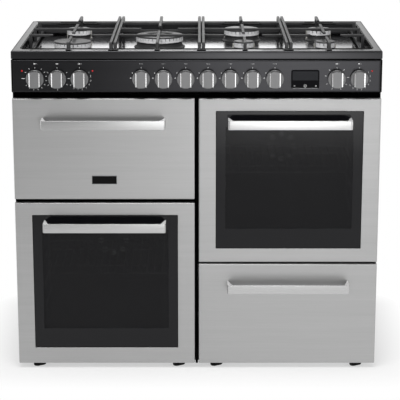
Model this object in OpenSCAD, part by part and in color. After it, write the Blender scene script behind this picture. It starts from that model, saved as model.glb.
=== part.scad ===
// Dual fuel range cooker. Grill and oven on the left, tall oven and storage drawer on the right,
// seven gas burners under four cast-iron pan supports, twelve knobs and a clock.
// Origin on the floor, midway between the sides and midway between handles and back.
// +X to the right, +Y to the back, +Z up. Millimetres.

/* [Body] */
// Width over the side panels
body_w = 1000; // [960:5:1060]
// Depth from the door faces to the rear edge of the side panels
body_d = 600; // [580:5:660]
// Height of the hob rim above the floor
hob_h = 900; // [890:5:940]
// Clear height under the doors
foot_h = 14.5; // [12:0.5:30]
// Gap between the left and the right doors
column_gap = 11; // [9:0.5:16]
// Thickness of the carcass sheets
sheet_t = 1.5; // [1:0.1:2]
// Distance from the door faces to the carcass front
carcass_y = 44; // [44:1:60]
// Distance from the back sheet to the rear edge of the side panels
rear_recess = 25; // [22:1:40]

/* [Front] */
// Height of the hob fascia
fascia_h = 21; // [18:0.5:30]
// Gap between the hob fascia and the control panel
panel_gap = 3.2; // [1:0.2:5]
// Height of the control panel
panel_h = 88; // [80:1:100]
// Height of the vent gap under the control panel
vent_gap = 17.4; // [12:0.2:24]
// Height of the left oven door
left_door_h = 465; // [440:1:480]
// Gap between the left oven door and the grill door
left_gap = 10.3; // [8:0.1:16]
// Height of the drawer front
drawer_h = 290.4; // [270:0.2:310]
// Gap between the drawer front and the right oven door
right_gap = 5.5; // [5:0.1:10]

/* [Doors] */
// Depth of the door skins with their folded edges
skin_d = 18; // [14:0.5:20]
// Thickness of a door skin's face
skin_t = 2; // [1.5:0.1:2.5]
// Thickness of the glass panes
glass_t = 4; // [3:0.5:5]
// Overlap of each pane behind the opening that it closes
glass_lap = 10; // [6:0.5:14]
// Steel beside the door glass
glass_side = 46.7; // [40:0.5:60]
// Steel above the door glass
glass_top = 34.5; // [30:0.5:45]
// Steel under the left door's glass
glass_bottom_left = 45.8; // [40:0.2:60]
// Steel under the right door's glass
glass_bottom_right = 38.7; // [34:0.1:60]
// Thickness of a whole door
door_t = 40; // [36:1:41]
// Distance from a door's edge to its liner
liner_inset = 14; // [12:0.5:18]
// Thickness of the liner sheet
liner_t = 1.5; // [1:0.1:2]
// Side border of the see-through window inside the glass
window_side = 26.5; // [22:0.5:40]
// Top border of the see-through window inside the glass
window_top = 44; // [35:1:60]
// Bottom border of the see-through window inside the glass
window_bottom = 57; // [45:1:70]

/* [Hinges] */
// Height of the hinge pins above a door's lower edge
pivot_up = 10; // [9:0.5:12]
// Depth of the hinge pins behind the door faces
pivot_y = 8; // [7.6:0.1:9]
// Radius of the hinge pins
hinge_pin_r = 3; // [2:0.25:3.5]
// Distance of the hinges from a door's side edge
hinge_inset = 80; // [72:1:110]

/* [Handles] */
// Length of the door and drawer handles
handle_l = 337; // [300:1:380]
// Height of the handle strap
handle_h = 25; // [20:1:30]
// Thickness of the handle strap
handle_t = 6; // [4:0.5:8]
// How far the handles stand out from the door faces
handle_out = 45; // [38:1:50]
// Handle centre below the top of the grill door and the right oven door
handle_drop_upper = 65.5; // [55:0.5:80]
// Handle centre below the top of the left oven door and the drawer
handle_drop_lower = 61.5; // [55:0.5:80]

/* [Controls] */
// Distance between the centres of neighbouring knobs
knob_pitch = 60; // [54:0.5:64]
// From the left end of the control panel to the middle knob of the left group
knobs_left_inset = 124.4; // [112:0.2:135]
// From the right end of the control panel to the middle of the right pair of knobs
knobs_right_inset = 92.2; // [86:0.2:98]
// From the middle of the clock to the middle of the right pair of knobs
pair_clock_gap = 115; // [110:0.2:122]
// From the middle of the clock to the nearest burner knob
burner_clock_gap = 82.1; // [78:0.1:90]
// Height of the knob centres above the lower edge of the control panel
knob_z = 37.6; // [34:0.2:44]
// Radius of a knob
knob_r = 24; // [20:0.5:25]
// How far the knobs stand out from the control panel
knob_out = 30; // [24:1:36]
// Width of the knob's grip
grip_w = 26; // [16:1:30]
// Radius of the control spindles
spindle_r = 3; // [2.5:0.25:4]
// Width of the clock
clock_w = 76; // [60:1:90]
// Height of the clock
clock_h = 51; // [40:1:56]
// From the lower edge of the control panel to the clock
clock_up = 10.3; // [8:0.1:20]
// Radius of the indicator lamps
lamp_r = 2.4; // [2:0.1:3.5]
// Distance of a lamp from the knob beside it
lamp_side = 35; // [32:0.2:37]
// Height of the lamps above the knob centres
lamp_up = 20.6; // [18:0.2:24]

/* [Cavities] */
// Depth of the oven and grill cavities
cavity_d = 430; // [380:5:435]
// Frame beside each cavity opening
cavity_side = 50; // [46:1:70]
// Frame under each cavity opening
cavity_below = 60; // [52:1:75]
// Frame above each cavity opening
cavity_above = 47; // [45:1:60]
// Thickness of the cavity sheet
cavity_t = 2; // [1.5:0.1:2.5]
// Radius of the oven fans
fan_r = 75; // [60:1:85]
// Radius of the fan shafts
shaft_r = 4; // [3:0.25:5]

/* [Hob] */
// Depth of the hob's recess below its rim
recess_depth = 31; // [26:0.5:34]
// Width of the hob rim at the front
rim_front = 40; // [36:1:50]
// Width of the hob rim at the sides
rim_side = 22; // [18:1:30]
// Width of the hob rim at the back
rim_rear = 65; // [50:1:80]
// Corner radius of the recess
recess_r = 20; // [10:1:30]
// Front burners behind the door faces
burner_front_y = 165; // [155:1:180]
// Wok burner behind the door faces
burner_wok_y = 288; // [270:1:300]
// Rear burners behind the door faces
burner_rear_y = 415; // [400:1:430]
// Radius of the wok burner
wok_r = 67; // [60:1:72]
// Radius of the two rapid burners
rapid_r = 51; // [46:1:54]
// Radius of the two middle-sized burners
semi_r = 34; // [30:1:38]
// Radius of the two small burners
small_r = 27; // [22:1:29]

/* [Pan supports] */
// Height of the pan supports above the hob rim
support_rise = 22; // [20:0.5:30]
// Width of the left pan support
support_left_w = 241; // [230:1:250]
// Width of the wok pan support
support_wok_w = 239; // [230:1:250]
// Width of the centre pan support
support_centre_w = 236; // [228:1:245]
// Gap between the outer pan supports and the side of the recess
support_side = 11; // [6:0.5:14]
// Front of the pan supports behind the door faces
support_front = 14; // [8:1:20]
// Back of the pan supports behind the door faces
support_rear = 546; // [542:1:552]
// Width of a pan support's bars
bar_w = 9; // [7:0.5:11]
// Height of a pan support's long bars
bar_h = 13; // [10:0.5:14]
// Height of a pan support's cross bars and fingers
cross_h = 7; // [5:0.5:10]
// Distance of the wok support's cross bars from the middle of the burner
wok_cross = 122; // [115:1:130]

/* [Drawer and rails] */
// Height of the drawer box
box_h = 190; // [120:5:200]
// Depth of the drawer box
box_d = 500; // [460:5:510]
// Travel of the drawer
drawer_travel = 350; // [330:5:360]
// Radius of the gas rail
rail_r = 8; // [6:0.5:9]
// Thread radius of the gas inlet
inlet_r = 10.48; // [8:0.02:12]
// Bore of the cable entry
cable_bore_r = 6; // [5:0.5:8]

/* [Hidden] */
$fn = 64;
running = 0.05;
eps = 0.01;
fit = 0.3;
front_y = (handle_out - body_d) / 2;
door_w = (body_w - column_gap) / 2;
right_x = (body_w + column_gap) / 4;
left_x = -right_x;
fascia_z = hob_h - fascia_h;
panel_z1 = fascia_z - panel_gap;
panel_z0 = panel_z1 - panel_h;
door_top = panel_z0 - vent_gap;
left_door_z = foot_h;
grill_door_z = left_door_z + left_door_h + left_gap;
grill_door_h = door_top - grill_door_z;
drawer_z = foot_h;
right_door_z = drawer_z + drawer_h + right_gap;
right_door_h = door_top - right_door_z;
side_front = skin_d + 6;
inner_w = body_w - 2 * sheet_t;
base_z1 = foot_h + sheet_t;
frame_t = 2;
frame_y1 = carcass_y + frame_t;
frame_z1 = panel_z0 - frame_t;
back_y = body_d - rear_recess;
knob_axis_z = panel_z0 + knob_z;
knobs_left_x = -body_w / 2 + knobs_left_inset;
knobs_right_x = body_w / 2 - knobs_right_inset;
clock_x = knobs_right_x - pair_clock_gap;
knobs_burner_x = clock_x - burner_clock_gap - 3 * knob_pitch;
burner_knobs_x = [for (i = [-3:3]) knobs_burner_x + i * knob_pitch];
switch_knobs_x = concat(
    [for (i = [-1:1]) knobs_left_x + i * knob_pitch],
    [for (i = [-0.5, 0.5]) knobs_right_x + i * knob_pitch]);
knobs_x = [
    switch_knobs_x[0], switch_knobs_x[1], switch_knobs_x[2],
    burner_knobs_x[0], burner_knobs_x[1], burner_knobs_x[2], burner_knobs_x[3],
    burner_knobs_x[4], burner_knobs_x[5], burner_knobs_x[6],
    switch_knobs_x[3], switch_knobs_x[4]];
// A lamp beside the first knob, one beside the third and one beside the last
lamps_x = [knobs_x[0] - lamp_side, knobs_x[2] + lamp_side, knobs_x[11] + lamp_side];
lamp_z = knob_axis_z + lamp_up;
lamp_clear = 0.1;
lamp_lip = 1.6;
lamp_out = 1.5;
lamp_l = 12;
spindle_clear = 2;
clock_z = panel_z0 + clock_h / 2 + clock_up;
clock_lap = 3;
bezel_out = 2.5;

// Cavities: [centre x, lower edge, height] of each opening
cavity_w = door_w - 2 * cavity_side;
grill_opening = [left_x, grill_door_z + 50, grill_door_h - 50 - cavity_above];
left_opening = [left_x, left_door_z + cavity_below, left_door_h - cavity_below - cavity_above];
right_opening = [right_x, right_door_z + cavity_below, right_door_h - cavity_below - cavity_above];
cavity_back = frame_y1 + cavity_d;
flange_w = 10;
seal_w = 7;

// Glass openings: [width, height, lower edge from the door's lower edge]
glass_w = door_w - 2 * glass_side;
left_glass = [glass_w, left_door_h - glass_top - glass_bottom_left, glass_bottom_left];
right_glass = [glass_w, right_door_h - glass_top - glass_bottom_right, glass_bottom_right];
function window_of(glass) = [
    glass[0] - 2 * window_side,
    glass[1] - window_top - window_bottom,
    glass[2] + window_bottom];

// Hinges
arm_w = 6;
arm_h = 8;
lug_w = 6;
lug_gap = 0.5;
eye_r = 5.5;
hinge_half = arm_w / 2 + lug_gap + lug_w;
liner_up = pivot_up + 7;

// Hob recess and pan supports
recess_z = hob_h - recess_depth;
recess_w = body_w - 2 * rim_side;
recess_d = body_d - rim_front - rim_rear;
hob_t = 2;
support_top = hob_h + support_rise;
bar_z0 = support_top - bar_h;
cross_z0 = support_top - cross_h;
support_x0 = -recess_w / 2 + support_side;
support_x1 = support_x0 + support_left_w;
support_x2 = support_x1 + support_wok_w;
support_x3 = support_x2 + support_centre_w;
support_x4 = recess_w / 2 - support_side;
support_split = 1;
left_burner_x = (support_x0 + support_x1) / 2;
wok_burner_x = (support_x1 + support_x2) / 2;
centre_burner_x = (support_x2 + support_x3) / 2;
right_burner_x = (support_x3 + support_x4) / 2;
// Burners: [x, y, radius]
burners = [
    [left_burner_x, burner_front_y, rapid_r],
    [left_burner_x, burner_rear_y, semi_r],
    [wok_burner_x, burner_wok_y, wok_r],
    [centre_burner_x, burner_rear_y, rapid_r],
    [centre_burner_x, burner_front_y, small_r],
    [right_burner_x, burner_rear_y, semi_r],
    [right_burner_x, burner_front_y, small_r]];
wok_inner_r = 24;
wok_gap_r = 40;
base_h = 18;
base_inset = 3;
base_flange_r = 6;
base_flange_h = 3;
ring_h = 12.5;
cap_h = 4.5;
ring_z0 = recess_z + base_h;
cap_z0 = ring_z0 + ring_h;
ring_wall = 7;
cup_depth = 22;
electrode_r = 2;

// Feet
feet_x = [-body_w / 2 + 53, -53, 53, body_w / 2 - 53];
feet_y = [side_front + 8, back_y - 40];
foot_r = 19.8;
stud_r = 5;
foot_pad_h = foot_h - 4;
stud_top = foot_h + 10;
post_up = 16;

// Drawer box and runners
runner_w = 12;
runner_h = 34;
runner_wall = 2;
runner_l = 480;
runner_z = drawer_z + 120;
box_z0 = drawer_z + 22;
rail_gap = 0.5;
partition_x = sheet_t / 2;
bay_x0 = partition_x;
bay_x1 = body_w / 2 - sheet_t;
box_x0 = bay_x0 + runner_w + rail_gap;
box_x1 = bay_x1 - runner_w - rail_gap;
box_t = 1.5;
box_rail_w = runner_w - runner_wall - rail_gap;
box_rail_h = runner_h - 2 * runner_wall - 2 * rail_gap;
// Length of the box's rails that stays in the runners when the drawer is fully out
rail_engaged = 95;
box_rail_y1 = frame_y1 + drawer_travel + rail_engaged;

// Gas and electric supply
tap_w = 26;
tap_d = 48;
rail_y = sheet_t + tap_d + rail_r;
inlet_x = body_w / 2 - 32;
inlet_l = 18;
spindle_l = 20;
power_inset = 150;
power_drop = 200;
power_x = -body_w / 2 + power_inset;
power_z = hob_h - power_drop;
power_w = 100;
power_h = 70;
power_d = 22;
gland_r = 10;
gland_l = 20;
entry_l = 30;

steel = [0.72, 0.72, 0.72];
dark_steel = [0.22, 0.22, 0.23];
black = [0.03, 0.03, 0.03];
enamel = [0.1, 0.1, 0.11];
galvanised = [0.6, 0.62, 0.63];
smoked = [0.08, 0.08, 0.09];
brass = [0.75, 0.6, 0.3];
iron = [0.13, 0.13, 0.13];
alloy = [0.78, 0.78, 0.8];

// From the front plane's coordinates to the part's frame
module at_front() {
    translate([0, front_y, 0]) children();
}

// A box between two corners
module span(low, high) {
    translate(low) cube(high - low);
}

// A cylinder along X, centred on x
module rod_x(r, length, x, y, z) {
    translate([x - length / 2, y, z]) rotate([0, 90, 0]) cylinder(r = r, h = length);
}

// A cylinder along Y from y0 to y1
module rod_y(r, x, z, y0, y1) {
    translate([x, y0, z]) rotate([-90, 0, 0]) cylinder(r = r, h = y1 - y0);
}

// A flat plate in the XZ plane, from y0 to y1, of a 2D outline
module plate_y(y0, y1) {
    translate([0, y1, 0]) rotate([90, 0, 0]) linear_extrude(y1 - y0) children();
}

module square_between(x0, z0, x1, z1) {
    translate([x0, z0]) square([x1 - x0, z1 - z0]);
}

module rounded_square(w, d, r) {
    square([w - 2 * r, d], center = true);
    square([w, d - 2 * r], center = true);
    for (x = [-1, 1], y = [-1, 1]) {
        translate([x * (w / 2 - r), y * (d / 2 - r)]) circle(r = r);
    }
}

// Carcass

module side_panels() {
    color(galvanised) at_front() {
        for (s = [-1, 1]) {
            span([s * body_w / 2 - (s > 0 ? sheet_t : 0), side_front, foot_h],
                 [s * body_w / 2 + (s > 0 ? 0 : sheet_t), body_d, fascia_z]);
        }
        span([-partition_x, frame_y1, base_z1], [partition_x, back_y - 2 * sheet_t, door_top]);
    }
}

module back_panel() {
    vent_w = 60;
    color(galvanised) at_front() {
        plate_y(back_y - sheet_t, back_y) difference() {
            square_between(-inner_w / 2, base_z1, inner_w / 2, fascia_z - 5);
            for (i = [-3:3], j = [0:3]) {
                translate([i * 2 * vent_w - vent_w / 2, foot_h + 150 + j * 25]) square([vent_w, 8]);
            }
            translate([inlet_x, knob_axis_z]) circle(r = rail_r + 1);
            back_screw_holes();
        }
    }
}

screw_r = 2.2;
back_screws = [
    for (x = [-inner_w / 2 + 12, -inner_w / 6, inner_w / 6, inner_w / 2 - 12])
    for (z = [foot_h + 30, fascia_z - 25]) [x, z]];
module back_screw_holes() {
    for (s = back_screws) {
        translate(s) circle(r = screw_r);
    }
}

module case_screws() {
    head_r = 4;
    head_h = 2;
    color(alloy) at_front() {
        for (s = back_screws) {
            rod_y(head_r, s[0], s[1], back_y, back_y + head_h);
            rod_y(screw_r - 0.05, s[0], s[1], back_y - 6, back_y);
        }
        for (s = [-1, 1], z = [34, 48]) {
            rod_x(5, 3, s * (body_w / 2 + 1.5), side_front + 8, foot_h + z - 14);
        }
    }
}

module base_pan() {
    lip = 15;
    color(galvanised) at_front() difference() {
        union() {
            span([-inner_w / 2, side_front + 1, foot_h], [inner_w / 2, back_y - sheet_t, base_z1]);
            span([-inner_w / 2, frame_y1, foot_h], [inner_w / 2, back_y - sheet_t, foot_h + lip]);
        }
        span([-inner_w / 2 + sheet_t, frame_y1 - 1, base_z1],
             [inner_w / 2 - sheet_t, back_y - 2 * sheet_t, foot_h + lip + 1]);
        for (x = feet_x, y = feet_y) {
            translate([x, y, foot_h - 1]) cylinder(r = stud_r + 0.3, h = sheet_t + 2);
        }
    }
}

module levelling_feet() {
    color(black) at_front() for (x = feet_x, y = feet_y) translate([x, y, 0]) {
        cylinder(r = foot_r, h = foot_pad_h);
        cylinder(r = stud_r, h = stud_top);
    }
}

module opening_square(o) {
    translate([o[0], o[1] + o[2] / 2]) square([cavity_w, o[2]], center = true);
}

module front_frame() {
    post_w = 2 * (box_x0 - box_rail_w - rail_gap);
    slot_w = 44;
    slot_pitch = 60;
    color(black) at_front() {
        plate_y(carcass_y, frame_y1) difference() {
            square_between(-inner_w / 2, base_z1, inner_w / 2, panel_z0);
            opening_square(grill_opening);
            opening_square(left_opening);
            opening_square(right_opening);
            square_between(box_x0 - box_rail_w - rail_gap, box_z0 - 12,
                           box_x1 + box_rail_w + rail_gap, right_door_z - 8);
            for (i = [-7:7]) {
                translate([i * slot_pitch - slot_w / 2, door_top + 3]) square([slot_w, 6]);
            }
        }
        span([-inner_w / 2, side_front + 2, frame_z1], [inner_w / 2, carcass_y + eps, panel_z0]);
        span([-post_w / 2, side_front + 2, foot_h + post_up], [post_w / 2, carcass_y + eps, frame_z1 + eps]);
    }
}

// Control panel and its parts

module control_panel() {
    color(dark_steel) at_front() difference() {
        span([-body_w / 2, 0, panel_z0], [body_w / 2, side_front, panel_z1]);
        span([-body_w / 2 + sheet_t, sheet_t, panel_z0 + sheet_t],
             [body_w / 2 - sheet_t, side_front + 1, panel_z1 - sheet_t]);
        for (x = knobs_x) {
            rod_y(spindle_r + spindle_clear, x, knob_axis_z, -1, sheet_t + 1);
        }
        for (x = lamps_x) {
            rod_y(lamp_r + lamp_clear, x, lamp_z, -1, sheet_t + 1);
        }
        span([clock_x - clock_w / 2 + clock_lap, -1, clock_z - clock_h / 2 + clock_lap],
             [clock_x + clock_w / 2 - clock_lap, sheet_t + 1, clock_z + clock_h / 2 - clock_lap]);
    }
}

module display_module() {
    neck = clock_lap + fit;
    housing_d = 24;
    color(smoked) at_front() {
        plate_y(-bezel_out, 0) translate([clock_x, clock_z]) rounded_square(clock_w, clock_h, 5);
        span([clock_x - clock_w / 2 + neck, -eps, clock_z - clock_h / 2 + neck],
             [clock_x + clock_w / 2 - neck, sheet_t + eps, clock_z + clock_h / 2 - neck]);
        span([clock_x - clock_w / 2, sheet_t, clock_z - clock_h / 2],
             [clock_x + clock_w / 2, sheet_t + housing_d, clock_z + clock_h / 2]);
    }
}

module indicator_lamps() {
    color("red") at_front() for (x = lamps_x) {
        rod_y(lamp_r, x, lamp_z, -lamp_out, sheet_t + lamp_l);
        rod_y(lamp_r + lamp_lip, x, lamp_z, sheet_t, sheet_t + lamp_l / 2);
    }
}

module knob(i) {
    skirt_y = -1.5;
    skirt_h = 11;
    color(steel) at_front() {
        rod_y(knob_r, knobs_x[i], knob_axis_z, skirt_y - skirt_h, skirt_y);
        intersection() {
            rod_y(knob_r, knobs_x[i], knob_axis_z, -knob_out, skirt_y - skirt_h + eps);
            span([knobs_x[i] - grip_w / 2, -knob_out - 1, knob_axis_z - knob_r - 1],
                 [knobs_x[i] + grip_w / 2, 0, knob_axis_z + knob_r + 1]);
        }
        rod_y(spindle_r, knobs_x[i], knob_axis_z, skirt_y - eps, spindle_l);
    }
}

module gas_rail() {
    thread_y0 = back_y + 4;
    color(brass) at_front() {
        rail_x0 = burner_knobs_x[0] - tap_w;
        rod_x(rail_r, inlet_x - rail_x0 + rail_r, (inlet_x + rail_x0 + rail_r) / 2, rail_y, knob_axis_z);
        rod_y(rail_r, inlet_x, knob_axis_z, rail_y, thread_y0);
        rod_y(rail_r + 6, inlet_x, knob_axis_z, back_y - sheet_t - 5, back_y - sheet_t);
        rod_y(inlet_r, inlet_x, knob_axis_z, thread_y0 - eps, thread_y0 + inlet_l);
        for (x = burner_knobs_x) difference() {
            span([x - tap_w / 2, sheet_t, knob_axis_z - tap_w / 2],
                 [x + tap_w / 2, sheet_t + tap_d, knob_axis_z + tap_w / 2]);
            rod_y(spindle_r + running, x, knob_axis_z, 0, spindle_l + 2);
        }
    }
}

module oven_switches() {
    switch_w = 40;
    switch_d = 36;
    color("white") at_front() for (x = switch_knobs_x) difference() {
        span([x - switch_w / 2, sheet_t, knob_axis_z - switch_w / 2],
             [x + switch_w / 2, sheet_t + switch_d, knob_axis_z + switch_w / 2]);
        rod_y(spindle_r + running, x, knob_axis_z, 0, spindle_l + 2);
    }
}

// Cavities and what works in them

module cavity(o) {
    color(enamel) at_front() difference() {
        union() {
            span([o[0] - cavity_w / 2 - cavity_t, frame_y1, o[1] - cavity_t],
                 [o[0] + cavity_w / 2 + cavity_t, cavity_back + cavity_t, o[1] + o[2] + cavity_t]);
            span([o[0] - cavity_w / 2 - flange_w, frame_y1, o[1] - flange_w],
                 [o[0] + cavity_w / 2 + flange_w, frame_y1 + cavity_t, o[1] + o[2] + flange_w]);
        }
        span([o[0] - cavity_w / 2, frame_y1 - 1, o[1]], [o[0] + cavity_w / 2, cavity_back, o[1] + o[2]]);
        if (o != grill_opening) {
            rod_y(shaft_r + 2, o[0], o[1] + o[2] / 2, cavity_back - 1, cavity_back + cavity_t + 1);
        }
    }
}

module grill_element() {
    element_r = 3.5;
    loop_pitch = 44;
    loops = 4;
    element_z = grill_opening[1] + grill_opening[2] - 22;
    y_front = frame_y1 + 60;
    for (i = [-loops + 0.5:loops - 0.5]) {
        rod_y(element_r, left_x + i * loop_pitch, element_z, y_front + loop_pitch / 2,
              abs(i) > loops - 1 ? cavity_back : cavity_back - 60 - loop_pitch / 2);
    }
    for (i = [-loops + 1:loops - 1]) {
        near = (i + loops) % 2 == 1;
        translate([left_x + i * loop_pitch, near ? y_front + loop_pitch / 2 : cavity_back - 60 - loop_pitch / 2,
                   element_z]) {
            rotate([0, 0, near ? 180 : 0]) rotate_extrude(angle = 180) {
                translate([loop_pitch / 2, 0]) circle(r = element_r);
            }
        }
    }
}

cover_d = 45;
cover_w = 240;
ring_element_r = fan_r + 16;
module ring_element(o) {
    wire_r = 4;
    ring_y = cavity_back - 24;
    translate([o[0], ring_y, o[1] + o[2] / 2]) rotate([90, 0, 0]) rotate_extrude() {
        translate([ring_element_r, 0]) circle(r = wire_r);
    }
    for (s = [-1, 1]) {
        rod_y(wire_r, o[0] + s * 8, o[1] + o[2] / 2 - ring_element_r, ring_y, cavity_back);
    }
}

module heating_elements() {
    color("dimgray") at_front() {
        grill_element();
        ring_element(left_opening);
        ring_element(right_opening);
    }
}

module fan_cover(o) {
    cover_t = 1.5;
    zc = o[1] + o[2] / 2;
    half = cover_w / 2;
    difference() {
        span([o[0] - half, cavity_back - cover_d, zc - half], [o[0] + half, cavity_back, zc + half]);
        span([o[0] - half + cover_t, cavity_back - cover_d + cover_t, zc - half + cover_t],
             [o[0] + half - cover_t, cavity_back + 1, zc + half - cover_t]);
        for (a = [0:45:315]) {
            rod_y(9, o[0] + 38 * cos(a), zc + 38 * sin(a), cavity_back - cover_d - 1, cavity_back - cover_d + 5);
        }
        for (s = [-1, 1], k = [-1:1]) {
            span([o[0] + s * half - 3, cavity_back - cover_d + 15, zc + k * 60 - 20],
                 [o[0] + s * half + 3, cavity_back - 15, zc + k * 60 + 20]);
        }
    }
}

module fan_covers() {
    color(enamel) at_front() {
        fan_cover(left_opening);
        fan_cover(right_opening);
    }
}

motor_r = 32;
motor_l = 40;
module fan_motor(o) {
    zc = o[1] + o[2] / 2;
    y0 = cavity_back + cavity_t;
    difference() {
        rod_y(motor_r, o[0], zc, y0, y0 + motor_l);
        rod_y(shaft_r + running, o[0], zc, y0 - 1, y0 + motor_l - 5);
    }
}

module fan_motors() {
    color(galvanised) at_front() {
        fan_motor(left_opening);
        fan_motor(right_opening);
    }
}

fan_t = 1.5;
fan_back_gap = 12;
fan_hub_r = 10;
fan_hub_l = 18;
blade_w = 20;
blade_l = 30;
blade_inset = 2;
shaft_depth = 30;
module fan(o) {
    zc = o[1] + o[2] / 2;
    disc_y = cavity_back - fan_back_gap;
    color(alloy) at_front() {
        rod_y(fan_r, o[0], zc, disc_y, disc_y + fan_t);
        rod_y(fan_hub_r, o[0], zc, disc_y - fan_hub_l, disc_y + eps);
        rod_y(shaft_r, o[0], zc, disc_y, cavity_back + cavity_t + shaft_depth);
        for (a = [0:45:315]) {
            translate([o[0], 0, zc]) rotate([0, a, 0]) {
                span([fan_r - blade_inset - blade_l, disc_y - blade_w, -fan_t / 2],
                     [fan_r - blade_inset, disc_y + eps, fan_t / 2]);
            }
        }
    }
}

// A ladder of shelf supports on each side wall, and a shelf on the third pair of them
rack_bar = 5;
rack_t = 4;
ledge_w = 9;
module ladder(o, s) {
    rack_y0 = frame_y1 + 15;
    rack_y1 = cavity_back - cover_d - 10;
    rack_h = 0.8 * o[2];
    rack_z0 = o[1] + 0.1 * o[2];
    wall_x = o[0] + s * cavity_w / 2;
    x0 = min(wall_x, wall_x - s * rack_t);
    for (y = [rack_y0, rack_y1 - rack_bar]) {
        span([x0, y, rack_z0], [x0 + rack_t, y + rack_bar, rack_z0 + rack_h]);
    }
    for (k = [0:4]) {
        ledge_x = min(wall_x, wall_x - s * ledge_w);
        z = rack_z0 + k * (rack_h - 4) / 4;
        span([ledge_x, rack_y0, z], [ledge_x + ledge_w, rack_y1, z + 4]);
    }
}

module shelf(o) {
    shelf_y0 = frame_y1 + 20;
    shelf_y1 = cavity_back - cover_d - 15;
    shelf_z = o[1] + 0.1 * o[2] + 2 * (0.8 * o[2] - 4) / 4 + 4 + fit;
    w = cavity_w - 2 * rack_t - 2;
    wires = 11;
    translate([o[0], 0, shelf_z]) linear_extrude(5) {
        difference() {
            square_between(-w / 2, shelf_y0, w / 2, shelf_y1);
            for (i = [0:wires - 1]) {
                gap = (w - 2 * rack_bar - (wires - 1) * 4) / wires;
                translate([-w / 2 + rack_bar + i * (gap + 4), shelf_y0 + rack_bar]) {
                    square([gap, shelf_y1 - shelf_y0 - 2 * rack_bar]);
                }
            }
        }
    }
}

module oven_racks() {
    color(alloy) at_front() {
        for (o = [left_opening, right_opening]) {
            ladder(o, -1);
            ladder(o, 1);
            shelf(o);
        }
    }
}

module seal(o) {
    plate_y(carcass_y - 3.5, carcass_y) difference() {
        translate([o[0], o[1] + o[2] / 2]) rounded_square(cavity_w + 2 * (seal_w + 2), o[2] + 2 * (seal_w + 2), 10);
        translate([o[0], o[1] + o[2] / 2]) rounded_square(cavity_w + 4, o[2] + 4, 4);
    }
}

module door_seals() {
    color(black) at_front() {
        seal(grill_opening);
        seal(left_opening);
        seal(right_opening);
    }
}

// Doors

module skin(w, h) {
    slot = arm_w + 5;
    difference() {
        span([-w / 2, 0, 0], [w / 2, skin_d, h]);
        span([-w / 2 + sheet_t, skin_t, sheet_t], [w / 2 - sheet_t, skin_d + 1, h - sheet_t]);
        for (s = [-1, 1]) {
            translate([s * (w / 2 - hinge_inset) - slot / 2, skin_t, -1]) {
                cube([slot, skin_d, sheet_t + 2]);
            }
        }
    }
}

// The liner is a tray with its back towards the cavity, and carries the hinge lugs
module liner(w, h, window) {
    half = w / 2 - liner_inset;
    difference() {
        span([-half, skin_t, liner_up], [half, door_t, h - liner_inset]);
        span([-half + liner_t, skin_t - 1, liner_up + liner_t],
             [half - liner_t, door_t - liner_t, h - liner_inset - liner_t]);
        if (window[0] > 0) {
            span([-window[0] / 2, 0, window[2]], [window[0] / 2, door_t + 1, window[2] + window[1]]);
        }
    }
    for (s = [-1, 1], k = [-1, 1]) {
        x = s * (w / 2 - hinge_inset) + k * (hinge_half - lug_w / 2);
        difference() {
            union() {
                rod_x(eye_r, lug_w, x, pivot_y, pivot_up);
                span([x - lug_w / 2, pivot_y - 4, pivot_up], [x + lug_w / 2, pivot_y + 4, liner_up + eps]);
            }
            rod_x(hinge_pin_r + running, lug_w + 2, x, pivot_y, pivot_up);
        }
    }
}

// An outer pane behind the skin and an inner pane inside the liner
module panes(glass) {
    window = window_of(glass);
    plate_y(skin_t, skin_t + glass_t) {
        square_between(-glass[0] / 2 - glass_lap, glass[2] - glass_lap,
                       glass[0] / 2 + glass_lap, glass[2] + glass[1] + glass_lap);
    }
    plate_y(door_t - liner_t - glass_t, door_t - liner_t) {
        square_between(-window[0] / 2 - glass_lap, window[2] - glass_lap,
                       window[0] / 2 + glass_lap, window[2] + window[1] + glass_lap);
    }
}

// A flat strap whose ends turn back to the door, with its foot at base_y
module handle(x, z, base_y) {
    leg_front = 14;
    leg_back = 4;
    color(steel) at_front() translate([x, 0, z - handle_h / 2]) linear_extrude(handle_h) {
        difference() {
            translate([0, (base_y + 20 - handle_out) / 2]) {
                rounded_square(handle_l, handle_out + base_y + 20, 5);
            }
            square_between(-handle_l, base_y, handle_l, base_y + 40);
            polygon([
                [-handle_l / 2 + leg_front, -handle_out + handle_t],
                [handle_l / 2 - leg_front, -handle_out + handle_t],
                [handle_l / 2 - leg_back, base_y + 1],
                [-handle_l / 2 + leg_back, base_y + 1]]);
        }
    }
}

module steel_door_skin(x, z, h, glass) {
    color(steel) at_front() translate([x, 0, z]) difference() {
        skin(door_w, h);
        if (glass[0] > 0) {
            span([-glass[0] / 2, -1, glass[2]], [glass[0] / 2, skin_t + 1, glass[2] + glass[1]]);
        }
    }
}

no_window = [0, 0, 0];
module grill_door_skin() {
    steel_door_skin(left_x, grill_door_z, grill_door_h, no_window);
}
module grill_door_liner() {
    color(enamel) at_front() translate([left_x, 0, grill_door_z]) liner(door_w, grill_door_h, no_window);
}
module grill_door_handle() {
    handle(left_x, grill_door_z + grill_door_h - handle_drop_upper, 0);
}
module badge_plate() {
    badge_w = 69;
    badge_h = 24;
    badge_up = 54.7;
    color(black) at_front() {
        plate_y(-1, 0) translate([left_x, grill_door_z + badge_up]) rounded_square(badge_w, badge_h, 1.5);
    }
}

module left_door_skin() {
    steel_door_skin(left_x, left_door_z, left_door_h, left_glass);
}
module left_door_glass() {
    color(smoked) at_front() translate([left_x, 0, left_door_z]) panes(left_glass);
}
module left_door_liner() {
    color(enamel) at_front() translate([left_x, 0, left_door_z]) {
        liner(door_w, left_door_h, window_of(left_glass));
    }
}
module left_door_handle() {
    handle(left_x, left_door_z + left_door_h - handle_drop_lower, skin_t);
}

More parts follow.
